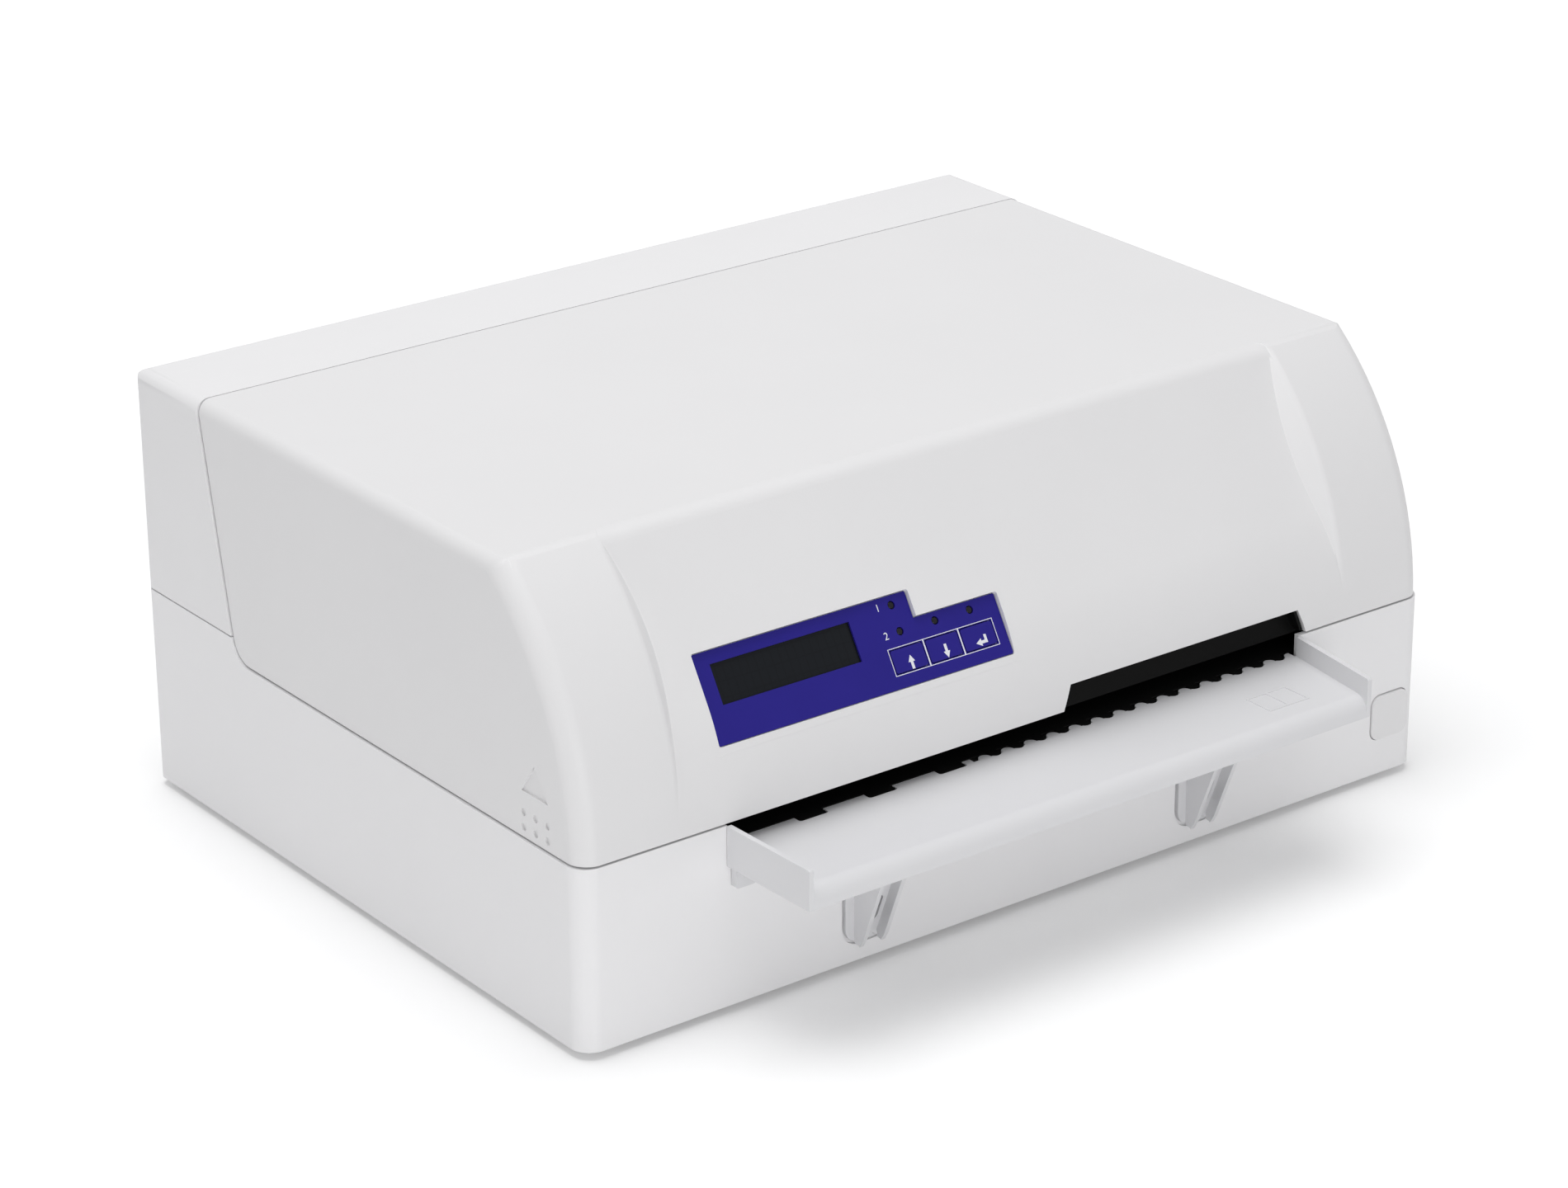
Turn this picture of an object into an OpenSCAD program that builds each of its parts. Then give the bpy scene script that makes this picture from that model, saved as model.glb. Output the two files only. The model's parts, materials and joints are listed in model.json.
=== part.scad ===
// Flatbed serial dot matrix printer.
// A low moulded case with a round-shouldered hood that swings up about a pair of
// gooseneck hinges, a plug-on document table in front, and the print mechanism inside.
// x runs to the right, y to the back, z up. The origin is the centre of the footprint,
// table included, at the level the feet stand on.

/* [Case] */
// Width of the case
case_w = 384; // [380:1:392]
// Depth of the case without the table
case_d = 281; // [279:1:290]
// Height of the roof above the lower edge of the case
roof_z = 163.5; // [162:0.5:170]
// Wall of the moulded case parts
wall = 2.5; // [2.2:0.1:2.8]
// Height of the seam between base and hood
seam_z = 68; // [67.5:0.5:69]
// Height of the seam between base and rear cover
rear_seam_z = 77; // [76:0.5:80]
// Open gap along the seams
seam_gap = 0.7; // [0.5:0.1:0.9]
// Radius of the upright front corners
front_corner_r = 8; // [6:0.5:10]
// Radius of the upright back corners
back_corner_r = 3.5; // [3:0.5:5]
// Radius along the side edges of the roof
roof_edge_r = 5.5; // [4:0.5:7]
// Height of the rubber feet
foot_h = 3; // [2:0.5:5]
// Radius of the rubber feet
foot_r = 7; // [6:0.5:9]

/* [Hood] */
// Step by which the sides of the hood stand in from the case
hood_step = 0.8; // [0.5:0.1:1.2]
// Radius of the round shoulders
shoulder_r = 129.1; // [129:0.1:131]
// Distance between the creases at the sides of the leaning front
crease_w = 301; // [296:1:306]
// Lean of the flat front from the vertical in degrees
front_lean = 31.6; // [31:0.1:32.5]
// Radius that rolls the front from upright into its lean
front_roll_r = 77; // [74:1:80]
// Height of the centre of that roll
front_roll_z = 67.6; // [66.5:0.1:68.5]
// Angle at which the roll leaves the round of the shoulders
roll_from = 6; // [5.5:0.1:7]
// Sideways run of the flank beside the leaning front per millimetre of its depth
flank_run = 1.05; // [0.8:0.05:1.4]
// Radius of the ridge between flank and shoulder
flank_r = 4; // [3:0.5:6]
// Radius of the kink between front and roof
kink_r = 8; // [6:0.5:10]
// Distance from the front to the seam across the roof
roof_seam_y = 237; // [236:0.5:238]
// Lean of the seam down the side in degrees
seam_lean = 11.1; // [10:0.1:12]
// Radius of the lower back corner of the hood
heel_r = 10; // [8:0.5:12]
// Height of the stiffening ribs inside the hood
rib_h = 5; // [3:0.5:7]

/* [Hood hinge] */
// Distance of the hinge pins from the back of the case
pin_back = 25; // [24:0.5:26]
// Depth of the hinge pins below the top of the roof
pin_drop = 7; // [6.8:0.1:7.5]
// Radius of the hinge pins
pin_r = 2.5; // [2:0.1:2.8]
// Radial running clearance of pins and shafts
run_gap = 0.05; // [0.03:0.01:0.08]
// Inner radius of the gooseneck
neck_r = 21.5; // [21:0.5:23]
// Thickness of the gooseneck
neck_t = 5; // [4:0.5:6]
// Width of the gooseneck
neck_w = 8; // [6:0.5:10]
// Distance of the goosenecks from the middle
neck_x = 150; // [140:1:160]
// Side gap between gooseneck and hinge bracket
side_gap = 0.4; // [0.3:0.1:0.6]
// Thickness of the hinge bracket's cheeks
cheek_t = 3; // [2:0.5:4]

/* [Operator panel] */
// Width of the panel overlay
panel_w = 127.3; // [125:0.1:129]
// Height of its left part, along the slope
panel_h = 32; // [31:0.5:34]
// Height of its right part, along the slope
panel_low_h = 22.2; // [21.5:0.1:24]
// Width of its right part
panel_low_w = 35.7; // [34:0.1:37]
// Distance of its right end from the middle of the case
panel_right = 3.3; // [2:0.1:6]
// Height of its lower edge above the lower edge of the case
panel_z = 95.5; // [95:0.5:98]
// Depth of the pocket that the overlay lies in
pocket_depth = 2.4; // [2.2:0.1:2.6]
// Thickness of the overlay
overlay_t = 0.8; // [0.6:0.1:1]
// Width of the display window
lcd_w = 59; // [57:0.5:60]
// Height of the display window
lcd_h = 14.4; // [14:0.1:15]
// Width of one key field
key_w = 15.4; // [15:0.1:15.6]
// Height of the key fields
key_h = 9.8; // [9:0.1:10.4]
// Travel of a key
key_travel = 0.5; // [0.3:0.1:0.6]
// Radius of the indicator lamps
led_r = 1.4; // [1.2:0.1:1.5]

/* [Front table] */
// Reach of the table in front of the case
table_reach = 44; // [40:1:50]
// Distance of its left end from the middle
table_left = 132.3; // [131:0.1:133]
// Distance of its right end from the middle
table_right = 129; // [128:0.1:129.4]
// Height of the top of its floor
table_floor_z = 60.5; // [60:0.1:61]
// Height of its lower edge
table_low_z = 53; // [52:0.5:54]
// Height of the top of its end walls
table_top_z = 68; // [66:0.5:68]
// Thickness of its moulding
table_t = 2; // [1.6:0.1:2.4]
// Radius of its front lip
lip_r = 6; // [5:0.5:7]
// Pitch of the white teeth at its back edge
tooth_pitch = 10.35; // [10:0.05:10.6]
// Distance of the left support bracket from the middle
bracket_left_x = 73; // [60:1:90]
// Distance of the right support bracket from the middle
bracket_right_x = 80; // [60:1:90]
// Width of a support bracket
bracket_w = 11.2; // [10:0.1:13]
// Thickness of the bracket's cheeks and web
bracket_t = 1.8; // [1.5:0.1:2.2]
// Height of the bracket's lower tip
bracket_low_z = 7; // [6:0.5:9]
// Height of the bracket's locating tongue
tongue_z = 24; // [20:1:30]

/* [Power button] */
// Distance of the button from the right side of the case
button_side = 15.7; // [15:0.1:17]
// Height of the button's centre
button_z = 23.4; // [22:0.1:26]
// Side of the rounded square button
button_w = 18; // [16:0.5:19]
// Travel of the button
button_travel = 3; // [2:0.5:4]

/* [Paper path] */
// Height of the paper plane above the lower edge of the case
paper_z = 61; // [60.8:0.1:61.2]
// Left end of the document slot from the middle
slot_left = 132.3; // [131:0.1:133]
// Right end of the document slot from the middle
slot_right = 131.5; // [131:0.1:133]
// Where the higher part of the slot begins
slot_step_x = 16; // [10:1:30]
// Height of the upper edge of the slot's higher part
slot_high_z = 78; // [76:0.5:79]
// Width of the paper guides
guide_w = 300; // [296:1:304]
// Thickness of the guide plates
guide_t = 2.5; // [2:0.1:2.8]
// Distance of the front feed shaft from the front
front_feed_y = 35; // [34:0.5:36]
// Radius of the feed rollers
feed_roller_r = 9; // [8.6:0.1:9.2]
// Radius of the pinch rollers
pinch_roller_r = 5; // [4.5:0.1:5.2]
// Radius of the feed shafts
feed_shaft_r = 3; // [2.5:0.1:3.4]
// Radius of the pinch shafts
pinch_shaft_r = 2; // [1.6:0.1:2.4]
// Teeth of the feed gears
feed_teeth = 40; // [38:2:42]
// Teeth of the motor pinion
pinion_teeth = 12; // [12:1:14]
// Tooth module of the gears
gear_module = 1; // [0.95:0.01:1.05]
// Face width of the gears
gear_w = 6; // [4:0.5:8]
// Play between the flanks of meshing teeth
backlash = 0.2; // [0.15:0.01:0.3]

/* [Print mechanism] */
// Room for the gear train between side frame and case
frame_room = 26; // [24:0.5:27]
// Thickness of the side frames
frame_t = 2; // [1.5:0.1:2.5]
// Distance of the print line from the front
print_y = 75; // [74:0.5:76]
// Distance of the carriage shaft from the front
shaft_y = 98; // [97.5:0.5:99]
// Height of the carriage shaft
shaft_z = 82; // [81:0.5:83]
// Radius of the carriage shaft
shaft_r = 6; // [5:0.5:6.5]
// Length of the carriage's bearing
carriage_w = 44; // [40:1:46]
// Distance of the belt pulleys from the front
belt_y = 120; // [119:0.5:121]
// Distance of the belt pulleys from the side frames
pulley_room = 17; // [16.5:0.5:20]
// Radius of the belt pulleys
pulley_r = 8; // [7:0.5:8.5]
// Thickness of the belt
belt_t = 1.2; // [1:0.1:1.4]
// Width of the belt
belt_w = 6; // [5:0.5:6.5]
// Radius of the carriage motor
motor_r = 15; // [13:0.5:15.5]
// Width of the print head's cooling fins
head_w = 28; // [24:0.5:29]
// Number of cooling fins
fin_count = 8; // [6:1:9]
// Radius of the ribbon knob
knob_r = 9; // [7:0.5:10]

/* [Hidden] */
$fn = 48;

// Colours of the materials
c_case = [0.87, 0.88, 0.89];
c_black = [0.06, 0.06, 0.07];
c_blue = [0.17, 0.14, 0.55];
c_steel = [0.68, 0.69, 0.71];
c_dark = [0.22, 0.22, 0.24];
c_pcb = [0.10, 0.36, 0.20];
c_gear = [0.93, 0.92, 0.88];

// Outer and inner faces of the side frames, and the pulleys between them
frame_x = case_w / 2 - frame_room;
frame_in = frame_x - frame_t;
pulley_x = frame_in - pulley_room;

// Everything below is drawn from the lower front edge of the case and moved to the origin here
mid_y = (case_d - table_reach) / 2;
module in_case() translate([0, -mid_y, foot_h]) children();

// ---- points and outlines ----
function arc(cx, cy, r, a0, a1, n) =
    [for (i = [0:n]) let (a = a0 + (a1 - a0) * i / n) [cx + r * cos(a), cy + r * sin(a)]];

// Rectangle from the origin corner with four round corners
module round_rect(w, h, r) {
    translate([r, 0]) square([w - 2 * r, h]);
    translate([0, r]) square([w, h - 2 * r]);
    for (x = [r, w - r], y = [r, h - r]) translate([x, y]) circle(r);
}

// Outline of the case from above, inset by a wall
module case_plan(inset = 0) {
    w = case_w / 2 - inset;
    rf = front_corner_r - inset;
    rb = max(back_corner_r - inset, 0.8);
    back = case_d - inset;
    translate([-w, inset + rf]) square([2 * w, back - inset - rf - rb]);
    translate([-w + rf, inset]) square([2 * (w - rf), 2 * rf]);
    translate([-w + rb, back - 2 * rb]) square([2 * (w - rb), 2 * rb]);
    for (s = [-1, 1]) {
        translate([s * (w - rf), inset + rf]) circle(rf);
        translate([s * (w - rb), back - rb]) circle(rb);
    }
}

// Turns an outline drawn in y and z into a solid between two x positions
module along_x(x0, x1) translate([x0, 0, 0]) rotate([90, 0, 90]) linear_extrude(x1 - x0) children();

// Turns an outline drawn in x and z into a solid between two y positions
module along_y(y0, y1) translate([0, y1, 0]) rotate([90, 0, 0]) linear_extrude(y1 - y0) children();

// ---- the seam between hood, base and rear cover ----
hood_low_z = seam_z + seam_gap;
function seam_y(z) = roof_seam_y - (roof_z - z) * tan(seam_lean);

// Side view of the room that the hood takes, grown by a gap at its lower and back edges
module hood_side(gap = 0) {
    low = hood_low_z - gap;
    shift = gap / cos(seam_lean);
    r = heel_r + gap;
    corner = seam_y(low) + shift;
    run = r * tan((90 - seam_lean) / 2);
    cy = corner - run;
    difference() {
        polygon([[-10, low], [corner, low], [seam_y(roof_z + 20) + shift, roof_z + 20],
            [-10, roof_z + 20]]);
        // the lower back corner is taken off along a round heel
        polygon(concat([[corner + 5, low - 5], [cy, low - 5]],
            arc(cy, low + r, r, -90, -seam_lean, 8), [[corner + 5, low + run]]));
    }
}

// ---- hood ----
drum_y = shoulder_r + 0.2;
drum_z = seam_z - 3.5;
kink_z = roof_z - kink_r;
roll_y = front_roll_r + 0.35;
hood_half = case_w / 2 - hood_step;
// Point where the roll meets the leaning front
lean_y = roll_y - front_roll_r * cos(front_lean);
lean_z = front_roll_z + front_roll_r * sin(front_lean);
function front_y(z) = lean_y + (z - lean_z) * tan(front_lean);
panel_y = front_y(panel_z);
roof_y = front_y(roof_z);

// Side view of the leaning front, inset by a wall: everything before it is cut away
module lean_front(inset) {
    r = front_roll_r - inset;
    start = [roll_y - r * cos(roll_from), front_roll_z + r * sin(roll_from)];
    k = kink_r - inset;
    ky = roof_y + kink_r * tan((90 - front_lean) / 2);
    polygon(concat(
        [[start[0] - 40 * tan(roll_from), start[1] - 40]],
        arc(roll_y, front_roll_z, r, 180 - roll_from, 180 - front_lean, 10),
        arc(ky, kink_z, k, 180 - front_lean, 93, 8),
        [[ky + 30, roof_z - inset + 2], [ky + 30, roof_z + 20], [-60, roof_z + 20], [-60, start[1] - 40]]));
}

// Side view of what the kink of the round shoulders takes away
module shoulder_kink(inset) {
    k = kink_r - inset;
    reach = shoulder_r - kink_r + 0.1;
    ky = drum_y - sqrt(pow(reach, 2) - pow(kink_z - drum_z, 2));
    a = atan2(kink_z - drum_z, ky - drum_y);
    polygon(concat([[ky + 60 * cos(a), kink_z + 60 * sin(a)]], arc(ky, kink_z, k, a, 93, 6),
        [[ky + 30, roof_z - inset + 2], [ky + 30, roof_z + 60]]));
}

// Half section of a drum with round rims
module drum_half(r, w, e) {
    square([r - e, w]);
    translate([0, e]) square([r, w - 2 * e]);
    for (y = [e, w - e]) translate([r - e, y]) circle(e);
}

// The two round shoulders, with flanks that lean into the recess between them
module shoulders(inset) {
    r = shoulder_r - inset;
    w = hood_half - inset;
    turn = 90 - atan(flank_run);
    low = crease_w / 2 + inset * sqrt(1 + pow(flank_run, 2)) - 20 * flank_run;
    for (s = [0, 1]) mirror([s, 0, 0]) translate([0, drum_y, drum_z]) rotate([0, 90, 0])
        rotate_extrude($fn = 180) polygon(concat([[0, low], [shoulder_r - 20, low]],
            arc(shoulder_r - flank_r, crease_w / 2 + flank_r * tan(turn / 2), flank_r - inset, -turn, 0, 4),
            [[r, w], [0, w]]));
}

// Solid form of the hood, inset by a wall
module hood_form(inset) {
    w = hood_half - inset;
    e = front_corner_r - inset;
    t = roof_edge_r - inset;
    difference() {
        intersection() {
            union() {
                // the drum that gives the shoulders their curve, its rim as round as the corners
                translate([-w, drum_y, drum_z]) rotate([0, 90, 0]) rotate_extrude($fn = 180)
                    drum_half(shoulder_r - inset, 2 * w, e);
                translate([-w, drum_y, 0]) cube([2 * w, case_d, roof_z + 10]);
            }
            // round side edges of the roof
            along_y(-5, case_d) translate([-w, -10]) round_rect(2 * w, roof_z - inset + 10, t);
        }
        difference() {
            along_x(-crease_w / 2 - flank_r - 2 * inset, crease_w / 2 + flank_r + 2 * inset)
                lean_front(inset);
            shoulders(inset);
        }
        along_x(-w - 1, w + 1) shoulder_kink(inset);
    }
}

// Front view of the higher part of the document slot, moved in at its top and right ends
module slot_shape(grow = 0) {
    high = slot_high_z + grow;
    polygon([[slot_step_x, seam_z - 8], [slot_step_x, hood_low_z], [slot_step_x + 3.5, high],
        [slot_right - 3.2 + grow, high], [slot_right - 0.5 + grow, high - 6.3],
        [slot_right + 0.5 + grow, hood_low_z], [slot_right + 0.5 + grow, seam_z - 8]]);
}

module top_hood() color(c_case) in_case() difference() {
    union() {
        intersection() {
            difference() { hood_form(0); hood_form(wall); }
            along_x(-case_w, case_w) hood_side();
        }
        hood_ribs();
        panel_seat();
    }
    // the right part of the document slot reaches higher than the left one
    along_y(-5, 14) slot_shape();
    on_panel() {
        translate([0, 0, -pocket_depth]) linear_extrude(20) panel_outline(0.3);
        translate([0, 0, -20]) linear_extrude(21) {
            lcd_outline(1.5);
            for (i = [0:2]) key_outline(i, -0.5);
            led_points() circle(led_r + 0.3);
        }
    }
    for (s = [-1, 1]) grip_mark(s);
}

// Stiffening ribs under the roof and behind the leaning front
module hood_ribs() {
    deep = wall + rib_h;
    for (x = [-120, -60, 0, 60, 120]) along_x(x - 0.8, x + 0.8)
        translate([80, roof_z - deep]) square([140, rib_h + 0.1]);
    for (x = [30, 60, 120]) along_x(x - 0.8, x + 0.8) intersection() {
        difference() { lean_front(deep); lean_front(wall - 0.1); }
        translate([0, slot_high_z + 8]) square([82, roof_z - slot_high_z - 9]);
    }
}

// Arrow and dots sunk into the side where the fingers lift the hood
grip_depth = 0.8;
module grip_mark(s) {
    translate([s * hood_half, 0, 0]) rotate([90, 0, 90]) linear_extrude(2 * grip_depth, center = true) {
        polygon([[26.5, 97], [34.3, 85.7], [18.7, 85.7]]);
        for (y = [19.5, 26.5, 33.5], z = [72.3, 77.8]) translate([y, z]) circle(1.4);
    }
}

// ---- operator panel ----
// Puts children on the plane of the leaning front: x across, y up the slope, z out of the hood
module on_panel() translate([0, panel_y, panel_z]) rotate([90 - front_lean, 0, 0]) children();

panel_x0 = -panel_right - panel_w;
panel_corner_r = 0.6;
seat_t = pocket_depth + 2.5;
board_depth = seat_t + 8;
key_row_y = 9.3;
lamp_row_y = 19.1;
lcd_x0 = panel_x0 + 6.6;
lcd_y0 = 13;
function key_x(i) = -panel_right - 50.4 + key_w * (i + 0.5);

module panel_outline(grow = 0) {
    translate([panel_x0 - grow, -grow])
        round_rect(panel_w - panel_low_w + 2 * grow, panel_h + 2 * grow, panel_corner_r + grow);
    translate([panel_x0 - grow, -grow])
        round_rect(panel_w + 2 * grow, panel_low_h + 2 * grow, panel_corner_r + grow);
}

module lcd_outline(grow = 0) translate([lcd_x0 - grow, lcd_y0 - grow])
    square([lcd_w + 2 * grow, lcd_h + 2 * grow]);

module key_outline(i, grow = 0) translate([key_x(i) - key_w / 2 - grow, key_row_y - key_h / 2 - grow])
    round_rect(key_w + 2 * grow, key_h + 2 * grow, 0.9);

// Three lamps over the keys and one more above the first
module led_points() {
    for (i = [0:2]) translate([key_x(i), lamp_row_y]) children();
    translate([key_x(0), lamp_row_y + 9.5]) children();
}

board_posts = [[panel_x0 + 0.9, 2.5], [panel_x0 + 0.9, 29], [-panel_right - 58, 2.5],
    [-panel_right - 2, 2.5], [-panel_right - 2, 19]];

// Thick seat behind the overlay, with posts that carry the panel board
module panel_seat() on_panel() {
    translate([panel_x0 - 3, -3, -seat_t]) cube([panel_w + 6, panel_h + 6, seat_t - 2]);
    for (p = board_posts) translate([p[0], p[1], -board_depth]) cylinder(r = 2, h = board_depth - 2.2);
}

module panel_overlay() color(c_blue) in_case() on_panel() translate([0, 0, -pocket_depth])
    linear_extrude(overlay_t) difference() {
        panel_outline();
        lcd_outline();
        for (i = [0:2]) key_outline(i, -0.5);
        led_points() circle(led_r + 0.1);
    }

module lcd_glass() color(c_black) in_case() on_panel() translate([0, 0, -seat_t - 0.1])
    linear_extrude(seat_t - pocket_depth) lcd_outline(1.1);

// Display module: a metal frame round the glass and a board with connector pads
module lcd_module() color(c_dark) in_case() on_panel() {
    translate([0, 0, -board_depth + 1.6]) linear_extrude(board_depth - seat_t - 1.7) lcd_outline(3);
    translate([lcd_x0 - 3, lcd_y0 - 5.5, -board_depth]) cube([lcd_w + 6, lcd_h + 10, 1.6]);
}

module panel_board() color(c_pcb) in_case() on_panel() {
    translate([panel_x0 - 1.5, -1, -board_depth - 1.6]) cube([panel_w + 3, panel_h + 2, 1.6]);
    for (i = [0:2]) translate([key_x(i), key_row_y, -board_depth]) {
        translate([-3, -3, 0]) cube([6, 6, 3.5]);
        cylinder(r = 1.7, h = 4);
    }
}

module panel_leds() color([0.15, 0.16, 0.14]) in_case() on_panel()
    translate([0, 0, -board_depth]) linear_extrude(board_depth - pocket_depth + overlay_t - 0.2)
        led_points() circle(led_r);

// Key field: a stiff pad in its window, with a stem that ends above the switch
module key_pad(i) {
    translate([0, 0, -pocket_depth - 0.6]) linear_extrude(overlay_t + 0.7) key_outline(i, -0.8);
    translate([key_x(i), key_row_y, -board_depth + 4 + key_travel + 0.05])
        cylinder(r = 1.6, h = board_depth - 4 - key_travel - pocket_depth - 0.1);
}
module key_up() color(c_blue) in_case() on_panel() key_pad(0);
module key_down() color(c_blue) in_case() on_panel() key_pad(1);
module key_enter() color(c_blue) in_case() on_panel() key_pad(2);

// ---- hood hinge ----
pin_y = case_d - pin_back;
pin_z = roof_z - pin_drop;
under_roof = pin_drop - wall;

module at_pin() translate([pin_y, pin_z]) children();

// Gooseneck arm: it leaves the hood's roof, curves round the edge of the rear cover and
// comes back to the pin, so the hood swings up and over without touching the cover
module hinge_arm(s) along_x(s * neck_x - neck_w / 2, s * neck_x + neck_w / 2) at_pin() difference() {
    union() {
        intersection() {
            difference() { circle(neck_r + neck_t); circle(neck_r); }
            polygon([[0, 0], [-60, under_roof * 60 / neck_r], [-60, -60], [60 * cos(256), 60 * sin(256)]]);
            translate([-60, -60]) square([120, 60 + under_roof]);
        }
        rotate(253) translate([0, -2.5]) square([neck_r + 1, 5]);
        circle(under_roof - 0.3);
        translate([-neck_r - neck_t - 20, under_roof - 3]) square([neck_t + 20, 3]);
    }
    circle(pin_r + run_gap);
}
module hinge_arm_left() color(c_dark) in_case() hinge_arm(-1);
module hinge_arm_right() color(c_dark) in_case() hinge_arm(1);

// Bracket under the rear cover's roof: two cheeks with feet, and the pin between them
module hinge_bracket(s) {
    in0 = neck_w / 2 + side_gap;
    for (m = [0, 1]) translate([s * neck_x, 0, 0]) mirror([m, 0, 0]) {
        along_x(in0, in0 + cheek_t) at_pin() {
            polygon([[-9, under_roof], [9, under_roof], [pin_r + 2, -1], [-pin_r - 2, -1]]);
            circle(pin_r + 2);
        }
        along_x(in0, in0 + cheek_t + 8) at_pin() translate([-9, under_roof - 2]) square([18, 2]);
    }
    along_x(s * neck_x - in0 - 0.1, s * neck_x + in0 + 0.1) at_pin() circle(pin_r);
}
module hinge_bracket_left() color(c_steel) in_case() hinge_bracket(-1);
module hinge_bracket_right() color(c_steel) in_case() hinge_bracket(1);

// ---- rear cover ----
tab_x = 150;
tab_screw_z = rear_seam_z - 8;

module rear_form(inset) {
    w = case_w / 2 - inset;
    intersection() {
        linear_extrude(roof_z + 5) case_plan(inset);
        along_y(-5, case_d) translate([-w, -10])
            round_rect(2 * w, roof_z - inset + 10, roof_edge_r - inset);
        along_x(-w - 1, w + 1) translate([60, -10])
            round_rect(case_d - inset - 60, roof_z - inset + 10, back_corner_r + 0.5 - inset);
    }
}

module rear_cover() color(c_case) in_case() difference() {
    union() {
        difference() {
            rear_form(0);
            rear_form(wall);
            along_x(-case_w, case_w) hood_side(seam_gap);
            translate([-case_w, -10, -1]) cube([2 * case_w, case_d + 50, rear_seam_z + 1]);
        }
        for (s = [-1, 1]) translate([s * tab_x - 7, case_d - wall - 2.8, tab_screw_z - 6]) {
            cube([14, 2.5, 24]);
            translate([0, 0, 14.5]) cube([14, 2.9, 9.5]);
        }
    }
    // thin shadow groove over the seam
    translate([0, 0, rear_seam_z]) linear_extrude(0.6) difference() {
        translate([-case_w, 0]) square([2 * case_w, case_d + 10]);
        case_plan(1.2);
    }
    for (s = [-1, 1]) translate([s * tab_x, case_d, tab_screw_z]) rotate([90, 0, 0])
        cylinder(r = 1.5, h = 20);
}

module case_screws() color(c_steel) in_case() for (s = [-1, 1])
    translate([s * tab_x, case_d - 0.1, tab_screw_z]) rotate([90, 0, 0]) {
        difference() {
            cylinder(r = 3, h = 1.5);
            translate([0, 0, -1]) linear_extrude(1.7)
                for (a = [0, 90]) rotate(a) square([3.6, 0.8], center = true);
        }
        cylinder(r = 1.5, h = wall + 2.6);
    }

// ---- base ----
foot_points = [for (s = [-1, 1], y = [24, case_d - 23]) [s * (case_w / 2 - 24), y]];
pan_z = 8;
pan_t = 1.5;
pan_front = 16;
frame_back = 170;
pan_posts = [for (s = [-1, 1], y = [26, frame_back - 12]) [s * 140, y]];
board_z = 10;
supply_z = 5;
mouth_z = table_low_z - 0.3;
exit_w = 264;

module base_case() color(c_case) in_case() difference() {
    union() {
        difference() {
            linear_extrude(rear_seam_z) case_plan();
            translate([0, 0, wall]) linear_extrude(rear_seam_z) case_plan(wall);
            along_x(-case_w, case_w) hood_side(seam_gap);
        }
        // posts for the chassis, the boards and the power supply
        for (p = pan_posts) translate([p[0], p[1], 1]) cylinder(r = 4, h = pan_z - 1);
        for (p = logic_posts) translate([p[0], p[1], 1]) cylinder(r = 3, h = board_z - 1);
        for (p = supply_posts) translate([p[0], p[1], 1]) cylinder(r = 3.5, h = supply_z - 1);
        // rails under the side frames
        for (s = [-1, 1]) translate([s * (frame_x - frame_t / 2) - 2, 22, 1])
            cube([4, frame_back - 24, pan_z - 1]);
        // collar round the power button and a pedestal under its switch
        translate([button_x, 0, button_z]) along_y(1, 9) square(button_w + 4, center = true);
        translate([button_x - 6, switch_y, 1]) cube([12, 14, button_z - 8 - 1]);
        // thickening behind the pockets for the table brackets
        for (x = bracket_xs) along_y(1, wall + 1.2) bracket_pocket(x, 2);
    }
    // mouth for the table's floor and the document
    translate([-table_left + 0.5, -1, mouth_z])
        cube([table_left + table_right - 1, wall + 3, rear_seam_z]);
    translate([button_x, 0, button_z]) along_y(-1, 12)
        translate([-button_w / 2 - 0.3, -button_w / 2 - 0.3])
            round_rect(button_w + 0.6, button_w + 0.6, 4.3);
    for (x = bracket_xs) {
        along_y(-1, 1.2) bracket_pocket(x);
        along_y(-1, 8) translate([x - 3.2, tongue_z - 6]) square([6.4, 19]);
    }
    // rear exit for long documents
    translate([-exit_w / 2, case_d - wall - 1, paper_z - guide_t - 0.9]) cube([exit_w, wall + 3, 8.3]);
    // openings of the interface and the power inlet
    translate([port_x0 - 3, case_d - wall - 1, board_z + 1]) cube([port_span + 6, wall + 3, 16]);
    along_y(case_d - wall - 1, case_d + 1) translate([inlet_x, inlet_z]) inlet_outline(0.3);
    // screws that hold the rear cover
    for (s = [-1, 1]) translate([s * tab_x, 0, tab_screw_z]) {
        along_y(case_d - wall - 1, case_d + 1) circle(1.6);
        along_y(case_d - 1.6, case_d + 1) circle(3.3);
    }
    for (p = foot_points) translate([p[0], p[1], -1]) cylinder(r = 3, h = wall + 2);
    // cooling slots in the floor below the power supply
    for (i = [0:8]) translate([-140 + 9 * i, bay_y + 18, -1]) cube([3, supply_d - 30, wall + 2]);
}

// Shallow pocket with round lower corners in which a table bracket seats
module bracket_pocket(x, grow = 0) {
    w = bracket_w + 9.6 + 2 * grow;
    translate([x - w / 2, bracket_low_z - 0.5 - grow]) {
        round_rect(w, 30, 7);
        translate([0, 15]) square([w, mouth_z - bracket_low_z - 14]);
    }
}

module rubber_feet() color(c_black) in_case() for (p = foot_points) translate([p[0], p[1], 0]) {
    translate([0, 0, -foot_h]) cylinder(r = foot_r, h = foot_h);
    cylinder(r = 2.95, h = wall);
}

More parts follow.
